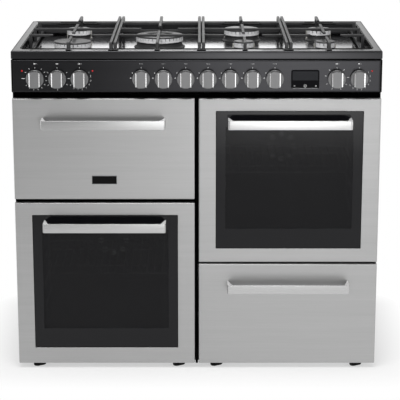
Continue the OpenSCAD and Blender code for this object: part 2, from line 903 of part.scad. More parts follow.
module right_door_skin() {
    steel_door_skin(right_x, right_door_z, right_door_h, right_glass);
}
module right_door_glass() {
    color(smoked) at_front() translate([right_x, 0, right_door_z]) panes(right_glass);
}
module right_door_liner() {
    color(enamel) at_front() translate([right_x, 0, right_door_z]) {
        liner(door_w, right_door_h, window_of(right_glass));
    }
}
module right_door_handle() {
    handle(right_x, right_door_z + right_door_h - handle_drop_upper, skin_t);
}

// Fixed half of the hinges: a foot on the front frame, an arm and the pin in its eye
module hinge(x, z) {
    foot_w = 24;
    foot_t = 2;
    span([x - foot_w / 2, carcass_y - foot_t, z - 7], [x + foot_w / 2, carcass_y, z + 20]);
    span([x - arm_w / 2, pivot_y, z - arm_h / 2], [x + arm_w / 2, carcass_y - foot_t + eps, z + arm_h / 2]);
    rod_x(eye_r, arm_w, x, pivot_y, z);
    rod_x(hinge_pin_r, 2 * hinge_half, x, pivot_y, z);
}

module door_hinges() {
    color(galvanised) at_front() for (s = [-1, 1]) {
        dx = s * (door_w / 2 - hinge_inset);
        hinge(left_x + dx, grill_door_z + pivot_up);
        hinge(left_x + dx, left_door_z + pivot_up);
        hinge(right_x + dx, right_door_z + pivot_up);
    }
}

// Drawer

module drawer_front() {
    color(steel) at_front() translate([right_x, 0, drawer_z]) difference() {
        span([-door_w / 2, 0, 0], [door_w / 2, skin_d, drawer_h]);
        span([-door_w / 2 + sheet_t, skin_t, sheet_t], [door_w / 2 - sheet_t, skin_d + 1, drawer_h - sheet_t]);
    }
}

module drawer_box() {
    rail_y0 = frame_y1 + 4;
    color(galvanised) at_front() {
        difference() {
            span([box_x0, skin_t, box_z0], [box_x1, box_d, box_z0 + box_h]);
            span([box_x0 + box_t, skin_t + box_t, box_z0 + box_t], [box_x1 - box_t, box_d - box_t, box_z0 + box_h + 1]);
        }
        for (s = [0, 1]) {
            x = s == 0 ? box_x0 - box_rail_w : box_x1;
            span([x - (s == 0 ? 0 : eps), rail_y0, runner_z - box_rail_h / 2],
                 [x + box_rail_w + (s == 0 ? eps : 0), box_rail_y1, runner_z + box_rail_h / 2]);
        }
    }
}

module drawer_handle() {
    handle(right_x, drawer_z + drawer_h - handle_drop_lower, 0);
}

module runner(wall_x, s) {
    x0 = min(wall_x, wall_x + s * runner_w);
    cut_x0 = min(wall_x + s * runner_wall, wall_x + s * (runner_w + 1));
    difference() {
        span([x0, frame_y1, runner_z - runner_h / 2], [x0 + runner_w, frame_y1 + runner_l, runner_z + runner_h / 2]);
        translate([cut_x0, frame_y1 - 1, runner_z - runner_h / 2 + runner_wall]) {
            cube([runner_w - runner_wall + 1, runner_l + 2, runner_h - 2 * runner_wall]);
        }
    }
}

module drawer_runners() {
    color(galvanised) at_front() {
        runner(bay_x0, 1);
        runner(bay_x1, -1);
    }
}

// Hob

module recess_outline(grow) {
    translate([0, rim_front + recess_d / 2]) {
        rounded_square(recess_w + 2 * grow, recess_d + 2 * grow, recess_r + grow);
    }
}

module hob_tray() {
    color(dark_steel) at_front() difference() {
        union() {
            difference() {
                span([-body_w / 2, 0, fascia_z], [body_w / 2, body_d, hob_h]);
                span([-body_w / 2 + hob_t, hob_t, fascia_z - 1], [body_w / 2 - hob_t, body_d - hob_t, hob_h - hob_t]);
            }
            translate([0, 0, recess_z - hob_t]) linear_extrude(recess_depth + hob_t - eps) recess_outline(hob_t);
        }
        translate([0, 0, recess_z]) linear_extrude(recess_depth + 1) recess_outline(0);
        for (b = burners) {
            translate([b[0], b[1], recess_z - hob_t - 1]) cylinder(r = cup_r(b) + 0.5, h = hob_t + 2);
        }
    }
}

function cup_r(b) = b[2] - 9;

module burner_bases() {
    color(iron) at_front() for (b = burners) translate([b[0], b[1], 0]) {
        translate([0, 0, recess_z]) cylinder(r = b[2] + base_flange_r, h = base_flange_h);
        translate([0, 0, recess_z]) cylinder(r = b[2] - base_inset, h = base_h);
        translate([0, 0, recess_z - cup_depth]) cylinder(r = cup_r(b), h = cup_depth + eps);
    }
}

// A flame ring: a plain wall with slots cut into its upper part
module flame_ring(r, slots) {
    slot_w = 2.4;
    translate([0, 0, ring_z0]) difference() {
        cylinder(r = r, h = ring_h);
        translate([0, 0, -1]) cylinder(r = r - ring_wall, h = ring_h + 2);
        for (i = [0:slots - 1]) {
            rotate([0, 0, i * 360 / slots]) translate([r - ring_wall - 1, -slot_w / 2, ring_h * 0.35]) {
                cube([ring_wall + 2, slot_w, ring_h]);
            }
        }
    }
}

module burner_rings() {
    color(alloy) at_front() for (b = burners) translate([b[0], b[1], 0]) {
        flame_ring(b[2], round(b[2] / 2));
        if (b[2] == wok_r) {
            flame_ring(wok_inner_r, 12);
        }
    }
}

// A cap with a bevelled edge, as a ring from inner_r to r or as a disc
module cap(r, inner_r) {
    bevel = 2;
    translate([0, 0, cap_z0]) rotate_extrude() {
        polygon([
            [inner_r, 0], [r, 0], [r, cap_h - bevel], [r - bevel, cap_h], [inner_r, cap_h]]);
    }
}

module burner_caps() {
    color(iron) at_front() for (b = burners) translate([b[0], b[1], 0]) {
        if (b[2] == wok_r) {
            cap(b[2] + 1, wok_gap_r);
            cap(wok_inner_r + 1, 0);
        } else {
            cap(b[2] + 1, 0);
        }
    }
}

module burner_electrodes() {
    stand_off = electrode_r + fit;
    color("ivory") at_front() for (b = burners, a = [35, 145]) {
        reach = b[2] + base_flange_r + stand_off;
        translate([b[0] + reach * cos(a), b[1] + reach * sin(a), recess_z]) {
            cylinder(r = electrode_r, h = base_h + ring_h);
        }
    }
}

// Pan supports

// A bar along Y that ends in a sloping tip at y1
module finger_y(x, y0, y1) {
    slope = min(10, abs(y1 - y0) / 3);
    d = y1 > y0 ? 1 : -1;
    translate([x - bar_w / 2, 0, 0]) rotate([90, 0, 90]) linear_extrude(bar_w) {
        polygon([[y0, cross_z0], [y1 - d * slope, cross_z0], [y1, support_top - 4], [y1, support_top], [y0, support_top]]);
    }
}

// A bar along X that ends in a sloping tip at x1
module finger_x(y, x0, x1) {
    slope = min(10, abs(x1 - x0) / 3);
    d = x1 > x0 ? 1 : -1;
    translate([0, y + bar_w / 2, 0]) rotate([90, 0, 0]) linear_extrude(bar_w) {
        polygon([[x0, cross_z0], [x1 - d * slope, cross_z0], [x1, support_top - 4], [x1, support_top], [x0, support_top]]);
    }
}

support_foot_z = hob_h + fit;
low_z0 = recess_z + 6;
low_z1 = recess_z + 15;
low_front = rim_front + 5;
low_rear = body_d - rim_rear - 5;

// A bar's end: a leg to the hob rim, and a post down to the low bar in the recess
module bar_end(x, front) {
    y0 = front ? support_front : support_rear - bar_w;
    low_y = front ? low_front : low_rear - bar_w;
    span([x - bar_w / 2, y0, support_foot_z], [x + bar_w / 2, y0 + bar_w, support_top]);
    span([x - bar_w / 2, low_y, low_z0], [x + bar_w / 2, low_y + bar_w, cross_z0 + eps]);
}

// A whole support between x0 and x1. open_side is -1 or 1 where the outer side has only a low rail.
module pan_support(x0, x1, open_side, rows) {
    xa = x0 + support_split + bar_w / 2;
    xb = x1 - support_split - bar_w / 2;
    xm = (x0 + x1) / 2;
    mid = burner_wok_y;
    reach = 62;
    tip = 40;
    wok_tip = 48;
    color(iron) at_front() {
        for (x = [xa, xb]) {
            if ((open_side < 0 && x == xa) || (open_side > 0 && x == xb)) {
                span([x - bar_w / 2, low_front, low_z0], [x + bar_w / 2, low_rear, low_z1]);
                for (y = concat(rows, [mid])) {
                    span([x - bar_w / 2, y - bar_w / 2, low_z0], [x + bar_w / 2, y + bar_w / 2, support_top]);
                }
            } else {
                span([x - bar_w / 2, support_front, bar_z0], [x + bar_w / 2, support_rear, support_top]);
                bar_end(x, true);
                bar_end(x, false);
            }
        }
        for (y = [low_front, low_rear - bar_w]) {
            span([xa - bar_w / 2, y, low_z0], [xb + bar_w / 2, y + bar_w, low_z1]);
        }
        bar_end(xm, true);
        bar_end(xm, false);
        if (len(rows) == 2) {
            span([xa - bar_w / 2, mid - bar_w / 2, cross_z0], [xb + bar_w / 2, mid + bar_w / 2, support_top]);
            finger_y(xm, support_front, rows[0] - tip);
            finger_y(xm, mid, rows[0] + tip);
            finger_y(xm, mid, rows[1] - tip);
            finger_y(xm, support_rear, rows[1] + tip);
            for (y = rows) {
                finger_x(y, xa, xa + reach);
                finger_x(y, xb, xb - reach);
            }
        } else {
            for (y = [mid - wok_cross, mid + wok_cross]) {
                span([xa - bar_w / 2, y - bar_w / 2, cross_z0], [xb + bar_w / 2, y + bar_w / 2, support_top]);
            }
            finger_y(xm, support_front, mid - wok_tip);
            finger_y(xm, support_rear, mid + wok_tip);
            finger_x(mid, xa, xa + reach);
            finger_x(mid, xb, xb - reach);
        }
    }
}

two_rows = [burner_front_y, burner_rear_y];
module pan_support_left() {
    pan_support(support_x0, support_x1, -1, two_rows);
}
module pan_support_wok() {
    pan_support(support_x1, support_x2, 0, []);
}
module pan_support_centre() {
    pan_support(support_x2, support_x3, 0, two_rows);
}
module pan_support_right() {
    pan_support(support_x3, support_x4, 1, two_rows);
}

module power_inlet() {
    color(black) at_front() difference() {
        union() {
            span([power_x - power_w / 2, back_y, power_z], [power_x + power_w / 2, back_y + power_d, power_z + power_h]);
            translate([power_x, back_y + power_d / 2, power_z - gland_l + eps]) cylinder(r = gland_r, h = gland_l);
        }
        translate([power_x, back_y + power_d / 2, power_z - gland_l - 1]) cylinder(r = cable_bore_r, h = gland_l + 1 + entry_l);
    }
}

side_panels();
back_panel();
base_pan();
front_frame();
hob_tray();
control_panel();
display_module();
indicator_lamps();
cavity(grill_opening);  // grill_cavity
cavity(left_opening);  // left_oven_cavity
cavity(right_opening);  // right_oven_cavity
heating_elements();
fan_covers();
fan_motors();
oven_racks();
gas_rail();
oven_switches();
burner_bases();
burner_rings();
burner_caps();
burner_electrodes();
levelling_feet();
door_seals();
drawer_runners();
door_hinges();
case_screws();
power_inlet();
knob(0);  // knob_grill
knob(1);  // knob_left_function
knob(2);  // knob_left_oven
knob(3);  // knob_left_front
knob(4);  // knob_left_rear
knob(5);  // knob_wok
knob(6);  // knob_centre_rear
knob(7);  // knob_centre_front
knob(8);  // knob_right_rear
knob(9);  // knob_right_front
knob(10);  // knob_right_function
knob(11);  // knob_right_oven
grill_door_skin();
grill_door_liner();
grill_door_handle();
badge_plate();
left_door_skin();
left_door_glass();
left_door_liner();
left_door_handle();
right_door_skin();
right_door_glass();
right_door_liner();
right_door_handle();
drawer_front();
drawer_box();
drawer_handle();
pan_support_left();
pan_support_wok();
pan_support_centre();
pan_support_right();
fan(left_opening);  // left_fan
fan(right_opening);  // right_fan
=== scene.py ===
import math

import bmesh
import bpy
import numpy as np
from bpy.props import FloatProperty, FloatVectorProperty, IntProperty, PointerProperty
from bpy.types import Operator, Panel, PropertyGroup
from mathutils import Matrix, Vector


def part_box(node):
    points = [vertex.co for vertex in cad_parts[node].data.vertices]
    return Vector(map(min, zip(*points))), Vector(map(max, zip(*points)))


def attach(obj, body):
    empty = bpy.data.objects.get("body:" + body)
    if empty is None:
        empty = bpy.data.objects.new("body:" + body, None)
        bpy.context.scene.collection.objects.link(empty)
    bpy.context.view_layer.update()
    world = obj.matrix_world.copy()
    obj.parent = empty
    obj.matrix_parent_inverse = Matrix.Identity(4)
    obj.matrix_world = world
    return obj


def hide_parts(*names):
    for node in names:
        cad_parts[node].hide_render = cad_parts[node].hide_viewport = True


bl_info = {
    "name": "Range cooker dressing",
    "version": (1, 0, 0),
    "blender": (4, 5, 0),
    "location": "View3D > Sidebar > Range cooker",
    "description": "Dresses the packed dual fuel range cooker with finished surfaces and a studio",
    "category": "Object",
}

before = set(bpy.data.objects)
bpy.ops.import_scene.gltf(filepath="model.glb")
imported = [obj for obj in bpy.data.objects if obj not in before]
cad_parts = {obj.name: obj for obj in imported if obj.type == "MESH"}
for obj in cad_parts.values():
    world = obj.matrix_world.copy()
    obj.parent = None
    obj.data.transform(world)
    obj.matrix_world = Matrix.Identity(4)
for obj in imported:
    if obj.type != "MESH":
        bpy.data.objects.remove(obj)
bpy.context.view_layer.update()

BURNER_KNOBS = ["knob_left_front", "knob_left_rear", "knob_wok", "knob_centre_rear", "knob_centre_front",
                "knob_right_rear", "knob_right_front"]
KNOBS = ["knob_grill", "knob_left_function", "knob_left_oven", *BURNER_KNOBS, "knob_right_function",
         "knob_right_oven"]


def corners(node):
    """The lowest and the highest corner of a CAD node, in millimetres."""
    low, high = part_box(node)
    return np.array(low) * 1000, np.array(high) * 1000


def centre(node):
    """The middle of a CAD node's box, in millimetres."""
    return np.add(*corners(node)) / 2


# The plane of the door faces, which most depths are measured from, and the top of the hob's rim
FRONT = corners("drawer_front")[0][1]
RIM = corners("hob_tray")[1][2]


# Sizes and colours that a user would change

def length(title, note, default, low, high):
    """A size in millimetres."""
    return FloatProperty(name=title, description=note, default=default, min=low, max=high, unit="NONE")


def colour(title, note, default):
    """A linear colour."""
    return FloatVectorProperty(
        name=title, description=note, default=default, size=3, min=0, max=1, subtype="COLOR")


def metres(title, note, default, low, high):
    """A place or a distance in metres."""
    return FloatProperty(name=title, description=note, default=default, min=low, max=high, unit="LENGTH")


class CookerSizes(PropertyGroup):
    """Sizes of the dressing, in millimetres."""

    fold: length("Fold radius", "Radius of the folded edges of the steel panels", 2.2, 0.5, 4)
    sheet: length("Sheet", "Thickness of the steel panels", 1.5, 0.8, 2)
    end_cap: length("End cap", "Width of the black caps at the ends of the control panel", 4, 2, 10)
    glass_lap: length("Glass lap", "How far a pane reaches behind the steel around it", 10, 6, 14)
    window_side: length("Window side", "Dark border beside the see-through window", 26.5, 20, 40)
    window_top: length("Window top", "Dark border above the see-through window", 44, 30, 60)
    window_bottom: length("Window bottom", "Dark border under the see-through window", 57, 40, 70)
    leg_front: length("Leg front", "Thickness of a handle's leg at the strap", 14, 8, 20)
    leg_back: length("Leg back", "Thickness of a handle's leg at the door", 4, 3, 12)
    strap: length("Strap", "Thickness of a handle's strap", 6, 3, 8)
    grip: length("Grip width", "Width of a knob's grip between the bright edges", 23, 14, 28)
    grip_edge: length("Grip edge", "Width of the bright bevel along a knob's grip", 3, 0.5, 5)
    skirt: length("Knob skirt", "Depth of the round base of a knob", 11, 6, 14)
    dial_radius: length("Dial radius", "Radius of the ring of marks around a knob", 30.5, 28, 34)
    hob_edge: length("Hob edge", "Radius of the hob's outer edge", 3, 1, 6)
    rim_front: length("Hob rim front", "Width of the hob's rim at the front", 40, 30, 50)
    rim_side: length("Hob rim side", "Width of the hob's rim at the sides", 22, 18, 30)
    rim_rear: length("Hob rim rear", "Width of the hob's rim at the back", 65, 50, 80)
    recess: length("Hob recess", "Depth of the hob's recess", 31, 20, 40)
    recess_corner: length("Recess corner", "Corner radius of the hob's recess", 20, 10, 40)
    burner_front: length("Front burners", "Front burners behind the door faces", 165, 150, 180)
    burner_wok: length("Wok burner", "Wok burner behind the door faces", 288, 270, 300)
    burner_rear: length("Rear burners", "Rear burners behind the door faces", 415, 400, 430)
    wok: length("Wok radius", "Radius of the wok burner", 67, 60, 72)
    rapid: length("Rapid radius", "Radius of the two rapid burners", 51, 46, 54)
    middle: length("Middle radius", "Radius of the two middle-sized burners", 34, 30, 38)
    small: length("Small radius", "Radius of the two small burners", 27, 22, 29)
    finger: length("Finger", "Length of a pan support's fingers from its sides", 62, 50, 70)
    wire: length("Rack wire", "Radius of the racks' wires", 2, 1, 3)
    lobes: IntProperty(
        name="Foot lobes", description="Lobes around the pad of a foot", default=3, min=0, max=8)


class CookerColours(PropertyGroup):
    """Colours of the finishes, as linear values."""

    steel: colour("Steel", "Brushed steel of the doors and the drawer", (0.43, 0.43, 0.43))
    dark_steel: colour("Dark steel", "Dark brushed steel of the control panel", (0.030, 0.030, 0.032))
    hob_steel: colour("Hob steel", "Dark brushed steel of the hob's rim", (0.043, 0.043, 0.045))
    hob_floor: colour("Hob floor", "Polished floor of the hob's recess", (0.30, 0.30, 0.31))
    knob: colour("Knob", "Satin metal of the knobs", (0.25, 0.25, 0.253))
    handle: colour("Handle", "Bright metal of the handles", (0.53, 0.53, 0.53))
    zinc: colour("Zinc", "Galvanised sheet", (0.42, 0.43, 0.44))
    black: colour("Black", "Black paint and enamel", (0.012, 0.012, 0.013))
    iron: colour("Iron", "Cast iron of the pan supports", (0.022, 0.022, 0.023))
    alloy: colour("Alloy", "Cast alloy of the flame rings", (0.90, 0.90, 0.91))
    glass: colour("Glass", "Smoked glass of the doors", (0.004, 0.004, 0.005))
    lamp: colour("Lamp", "Red lens of the lamps", (0.45, 0.006, 0.008))
    ink: colour("Ink", "Printed marks around the knobs", (0.62, 0.62, 0.62))


class StudioLight(PropertyGroup):
    """Place of the camera and strength of the lamps."""

    distance: metres("Camera distance", "Camera in front of the door faces", 4.3, 2, 12)
    height: metres("Camera height", "Camera above the floor", 1.56, 0, 4)
    side: metres("Camera side", "Camera right of the middle", 0.009, -1, 1)
    pitch: FloatProperty(name="Camera pitch", description="How far the camera looks down",
                         default=math.radians(14.0), min=0, max=1.5, subtype="ANGLE")
    lens: FloatProperty(name="Lens", description="Focal length on a 36 mm sensor",
                        default=145.2, min=20, max=400, unit="CAMERA")
    ambient: FloatProperty(name="Ambient", description="Strength of the studio's even light",
                           default=0.48, min=0, max=2)
    shadow: FloatProperty(name="Shadow", description="How much of the floor's shadow shows",
                          default=0.5, min=0, max=1)


def sizes():
    return bpy.context.scene.cooker_sizes


def colours():
    return bpy.context.scene.cooker_colours


def studio():
    return bpy.context.scene.studio_light


# Shapes worked out as grids of points

def rounded_loop(width, height, radius, steps=5):
    """A rounded rectangle about the origin, anticlockwise: at each corner a quarter circle."""
    radius = min(radius, 0.499 * width, 0.499 * height)
    angle = np.linspace(0, np.pi / 2, steps)[None, :] + np.arange(4)[:, None] * np.pi / 2
    middle = np.array([[1, 1], [-1, 1], [-1, -1], [1, -1]]) * [width / 2 - radius, height / 2 - radius]
    loop = middle[:, None, :] + radius * np.stack([np.cos(angle), np.sin(angle)], -1)
    return loop.reshape(-1, 2)


def eased(points, radius, steps=4):
    """A polyline with rounded corners: each becomes a parabola between points a radius away on both sides."""
    points = np.asarray(points, float)
    corner = points[1:-1]
    back, ahead = points[:-2] - corner, points[2:] - corner
    back_l, ahead_l = np.linalg.norm(back, axis=1), np.linalg.norm(ahead, axis=1)
    reach = np.minimum(np.minimum(radius, 0.49 * back_l), 0.49 * ahead_l)[:, None, None]
    start = corner[:, None] + back[:, None] / back_l[:, None, None] * reach
    end = corner[:, None] + ahead[:, None] / ahead_l[:, None, None] * reach
    t = np.linspace(0, 1, steps + 1)[None, :, None]
    curve = (1 - t) ** 2 * start + 2 * t * (1 - t) * corner[:, None] + t ** 2 * end
    return np.vstack([points[:1], curve.reshape(-1, points.shape[1]), points[-1:]])


def placed(plane, across, middle, axis):
    """Points of a plane at places along an axis: (n, 2) points and a place each, about a middle."""
    out = np.empty(np.broadcast_shapes(plane.shape[:-1], np.shape(across)) + (3,))
    first, second = [a for a in range(3) if a != axis]
    out[..., first] = middle[first] + plane[..., 0]
    out[..., second] = middle[second] + plane[..., 1]
    out[..., axis] = across
    return out


def framed(section, low, high, corner, axis=1, steps=5):
    """Rings that follow a section: point (inset, place) gives a rounded rectangle, smaller by the inset all
    round than the one between low and high, at that place along the axis."""
    low, high = np.asarray(low, float), np.asarray(high, float)
    middle = (low + high) / 2
    width, height = [(high - low)[a] for a in range(3) if a != axis]
    loops = [rounded_loop(width - 2 * inset, height - 2 * inset, max(corner - inset, 0.25), steps)
             for inset, _ in section]
    return np.array([placed(loop, place, middle, axis) for loop, (_, place) in zip(loops, section)])


def slab(low, high, edge=0.5, corner=None, axis=1, steps=3):
    """A block with rounded edges: rounded rectangles along an axis, which shrink by a quarter circle at both
    ends."""
    low, high = np.minimum(low, high), np.maximum(low, high)
    corner = edge + 0.25 if corner is None else corner
    turn = np.linspace(np.pi / 2, 0, steps + 1)
    inset = np.concatenate([[edge + 0.2], edge * (1 - np.cos(turn))])
    rise = np.concatenate([[0], edge * (1 - np.sin(turn))])
    section = np.concatenate([
        np.stack([inset, low[axis] + rise], 1), np.stack([inset, high[axis] - rise], 1)[::-1]])
    return framed(section, low, high, corner, axis, steps)


def post(x, y, reach, bottom, top, edge=1.2, corner=None):
    """An upright block with rounded edges about (x, y), which reaches as far to each side."""
    reach = np.broadcast_to(reach, 2)
    return slab((x - reach[0], y - reach[1], bottom), (x + reach[0], y + reach[1], top), edge, corner, axis=2)


def turned(profile, middle, axis=2, sides=48, lobes=0, depth=0):
    """A turned piece: each point (radius, height) of the profile goes round an axis through the middle.
    With lobes, the radius swells and shrinks by the depth as a cosine of the angle."""
    profile = np.asarray(profile, float)
    angle = np.arange(sides) * 2 * np.pi / sides
    radius = profile[:, :1] * (1 + depth * (np.cos(lobes * angle) - 1) / 2)
    plane = np.stack([radius * np.cos(angle), radius * np.sin(angle)], -1)
    return placed(plane, middle[axis] + profile[:, 1:], middle, axis)


def upright_ring(point, way, height, loop):
    """A loop on end at a point (x, y): its first coordinate runs along a level way, its second upwards."""
    return np.column_stack([point + loop[:, :1] * way, height + loop[:, 1]])


def wire(path, radius, up=(0, 0, 1), sides=10, closed=False):
    """A round wire: circles across a path that lies in the plane square to up."""
    path, up = np.asarray(path, float), np.asarray(up, float)
    ahead = np.roll(path, -1, 0) - np.roll(path, 1, 0)
    if not closed:
        ahead[0], ahead[-1] = path[1] - path[0], path[-1] - path[-2]
    across = np.cross(ahead, up)
    across /= np.linalg.norm(across, axis=1)[:, None]
    angle = np.arange(sides) * 2 * np.pi / sides
    ring = np.cos(angle)[None, :, None] * across[:, None] + np.sin(angle)[None, :, None] * up
    return path[:, None] + radius * ring


def bead(low, high, corner, half_width, half_height, axis=1, steps=6, sides=10):
    """A bead around a rounded rectangle: an oval section whose point at an angle widens the rectangle by the
    half width times the cosine, and lies the half height times the sine away from its plane."""
    angle = np.arange(sides) * 2 * np.pi / sides
    section = np.stack([-half_width * np.cos(angle), low[axis] + half_height * np.sin(angle)], 1)
    return framed(section, low, high, corner, axis, steps)


class Shell:
    """A mesh in the making. Each grid of rings that is added is a closed skin of its own, in millimetres."""

    def __init__(self):
        self.points, self.faces, self.finishes, self.total = [], [], [], 0

    def add(self, points, faces, finish):
        """Adds points and faces that are ready made."""
        points = np.asarray(points, float).reshape(-1, 3)
        self.points.append(points)
        self.faces.extend([[i + self.total for i in face] for face in faces])
        self.finishes.extend(np.broadcast_to(finish, len(faces)).tolist())
        self.total += len(points)

    def loft(self, rings, finish=0, loop=False):
        """Joins each ring to the next, round and round. The first and the last ring are closed with a face,
        or joined to each other if loop is set. The finish is one number, one for each band between rings, or
        one for each face between rings."""
        rings = np.asarray(rings, float)
        index = np.arange(rings.shape[0] * rings.shape[1]).reshape(rings.shape[:2])
        lower, upper = (index, np.roll(index, -1, 0)) if loop else (index[:-1], index[1:])
        quads = np.stack([lower, np.roll(lower, -1, 1), np.roll(upper, -1, 1), upper], -1).reshape(-1, 4)
        caps = [] if loop else [index[0][::-1].tolist(), index[-1].tolist()]
        grid = np.broadcast_to(np.reshape(finish, (-1, 1)) if np.ndim(finish) == 1 else finish, lower.shape)
        ends = [] if loop else grid[[0, -1], 0]
        self.add(rings, quads.tolist() + caps, np.append(grid, ends).astype(int))
        return self

    def mesh(self, name, crease=32):
        """The gathered skins as one mesh in metres, faces outwards, smooth but for edges past the crease."""
        mesh = bpy.data.meshes.new(name)
        mesh.from_pydata((np.concatenate(self.points) / 1000).tolist(), [], self.faces)
        mesh.polygons.foreach_set("material_index", np.array(self.finishes, np.int32))
        work = bmesh.new()
        work.from_mesh(mesh)
        bmesh.ops.recalc_face_normals(work, faces=work.faces)
        work.to_mesh(mesh)
        work.free()
        soften(mesh, crease)
        return mesh


def soften(mesh, crease):
    """Shades a mesh smooth, but for its edges sharper than the crease in degrees."""
    mesh.polygons.foreach_set("use_smooth", np.ones(len(mesh.polygons), bool))
    mesh.set_sharp_from_angle(angle=math.radians(crease))


def linked(name, data):
    """A new object of the scene."""
    obj = bpy.data.objects.new(name, data)
    bpy.context.scene.collection.objects.link(obj)
    return obj


def evaluated_mesh(obj):
    """The mesh of an object as its modifiers or its text make it."""
    bpy.context.view_layer.update()
    return bpy.data.meshes.new_from_object(obj.evaluated_get(bpy.context.evaluated_depsgraph_get()))


def cut(obj, cutter_shell, crease):
    """Takes the volume of a shell out of a piece."""
    cutter = linked("cutter", cutter_shell.mesh("cutter"))
    modifier = obj.modifiers.new("cut", "BOOLEAN")
    modifier.operation, modifier.solver, modifier.object = "DIFFERENCE", "EXACT", cutter
    whole = obj.data
    obj.data = evaluated_mesh(obj)
    obj.modifiers.clear()
    obj.data.name = whole.name
    bpy.data.meshes.remove(whole)
    bpy.data.objects.remove(cutter)
    soften(obj.data, crease)


def piece(name, shell, finishes, stands_for=(), body="cooker", crease=32, cutter=None):
    """Puts a shell into the scene as a finished piece that rides on a body and may stand for CAD nodes. Its
    slot in the record is named as its first finish unless it is given."""
    obj = linked(name, shell.mesh(name, crease))
    for maker in finishes:
        obj.data.materials.append(material(maker))
    if cutter is not None:
        cut(obj, cutter, crease)
    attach(obj, body)
    if stands_for:
        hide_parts(*stands_for)


def dress(node, maker):
    """Gives a CAD node that stays its finish."""
    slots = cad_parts[node].data.materials
    slots.clear()
    slots.append(material(maker))


# Finishes

class Wire:
    """A socket of a finish. An expression on wires adds the Math nodes that work it out."""

    def __init__(self, finish, socket):
        self.finish, self.socket = finish, socket

    def math(self, operation, *values):
        """A Math node on these values or wires."""
        return self.finish.node("ShaderNodeMath", {"operation": operation}, dict(enumerate(values)))

    def __add__(self, other):
        return self.math("ADD", self, other)

    def __radd__(self, other):
        return self.math("ADD", other, self)

    def __sub__(self, other):
        return self.math("SUBTRACT", self, other)

    def __rsub__(self, other):
        return self.math("SUBTRACT", other, self)

    def __mul__(self, other):
        return self.math("MULTIPLY", self, other)

    def __rmul__(self, other):
        return self.math("MULTIPLY", other, self)

    def __truediv__(self, other):
        return self.math("DIVIDE", self, other)

    def __pow__(self, other):
        return self.math("POWER", self, other)

    def __gt__(self, other):
        return self.math("GREATER_THAN", self, other)

    def __lt__(self, other):
        return self.math("LESS_THAN", self, other)

    def __abs__(self):
        return self.math("ABSOLUTE", self)

    def wave(self, operation="SINE"):
        """The sine or the cosine of this value."""
        return self.math(operation, self)

    def held(self, low=0.0, high=1.0):
        """This value, kept between low and high."""
        return self.math("MAXIMUM", self.math("MINIMUM", self, high), low)


class Finish:
    """The nodes of a material or of the world in the making, with one method for every kind of node."""

    def __init__(self, owner):
        self.owner = owner
        owner.use_nodes = True
        self.tree = owner.node_tree
        self.tree.nodes.clear()

    def node(self, kind, settings=(), inputs=(), out=0):
        """Adds a node: first its settings, then its sockets' values or wires. Gives its output as a wire."""
        made = self.tree.nodes.new(kind)
        for name, value in dict(settings).items():
            setattr(made, name, value)
        for key, value in dict(inputs).items():
            if isinstance(value, Wire):
                self.tree.links.new(value.socket, made.inputs[key])
            else:
                made.inputs[key].default_value = value
        return Wire(self, made.outputs[out]) if len(made.outputs) else None

    def spot(self, scale=(1, 1, 1)):
        """Object coordinates in metres, stretched."""
        at = self.node("ShaderNodeTexCoord", out="Object")
        return self.node("ShaderNodeMapping", inputs={"Vector": at, "Scale": scale})

    def along(self, axis):
        """One of the object coordinates, in metres."""
        at = self.node("ShaderNodeTexCoord", out="Object")
        return self.node("ShaderNodeSeparateXYZ", inputs={0: at}, out=axis)

    def noise(self, scale, detail=2.0, rough=0.5, stretch=(1, 1, 1)):
        """A cloudy value from 0 to 1."""
        return self.node("ShaderNodeTexNoise", inputs={
            "Vector": self.spot(stretch), "Scale": scale, "Detail": detail, "Roughness": rough})

    def cells(self, scale, out="Distance"):
        """A pattern of cells: the distance from each one's middle, or its own colour."""
        return self.node("ShaderNodeTexVoronoi", inputs={"Vector": self.spot(), "Scale": scale}, out=out)

    def mix(self, mask, first, second):
        """From the first colour to the second as the mask goes from 0 to 1."""
        sockets = {0: mask, 6: (*first, 1), 7: (*second, 1)}
        return self.node("ShaderNodeMix", {"data_type": "RGBA"}, sockets, 2)

    def shade(self, tint, amount):
        """A colour made lighter or darker by a value."""
        return self.node("ShaderNodeVectorMath", {"operation": "SCALE"}, {0: tuple(tint), "Scale": amount})

    def bump(self, height, strength, distance):
        """A surface raised by the height, by at most the distance in metres."""
        sockets = {"Height": height, "Strength": strength, "Distance": distance}
        return self.node("ShaderNodeBump", inputs=sockets)

    def surface(self, sockets):
        """Ends the material in a Principled shader with these values or wires."""
        shader = self.node("ShaderNodeBsdfPrincipled", inputs=sockets)
        self.node("ShaderNodeOutputMaterial", inputs={"Surface": shader})
        return self

    def blend(self, share, first, second, output="ShaderNodeOutputMaterial"):
        """Ends in a mix of two shaders: the second one's share."""
        both = self.node("ShaderNodeMixShader", inputs={0: share, 1: first, 2: second})
        self.node(output, inputs={"Surface": both})


MADE = {}


def material(maker):
    """The material of a finish, made when it is first asked for."""
    if maker.__name__ not in MADE:
        MADE[maker.__name__] = maker(Finish(bpy.data.materials.new(maker.__name__))).owner
    return MADE[maker.__name__]


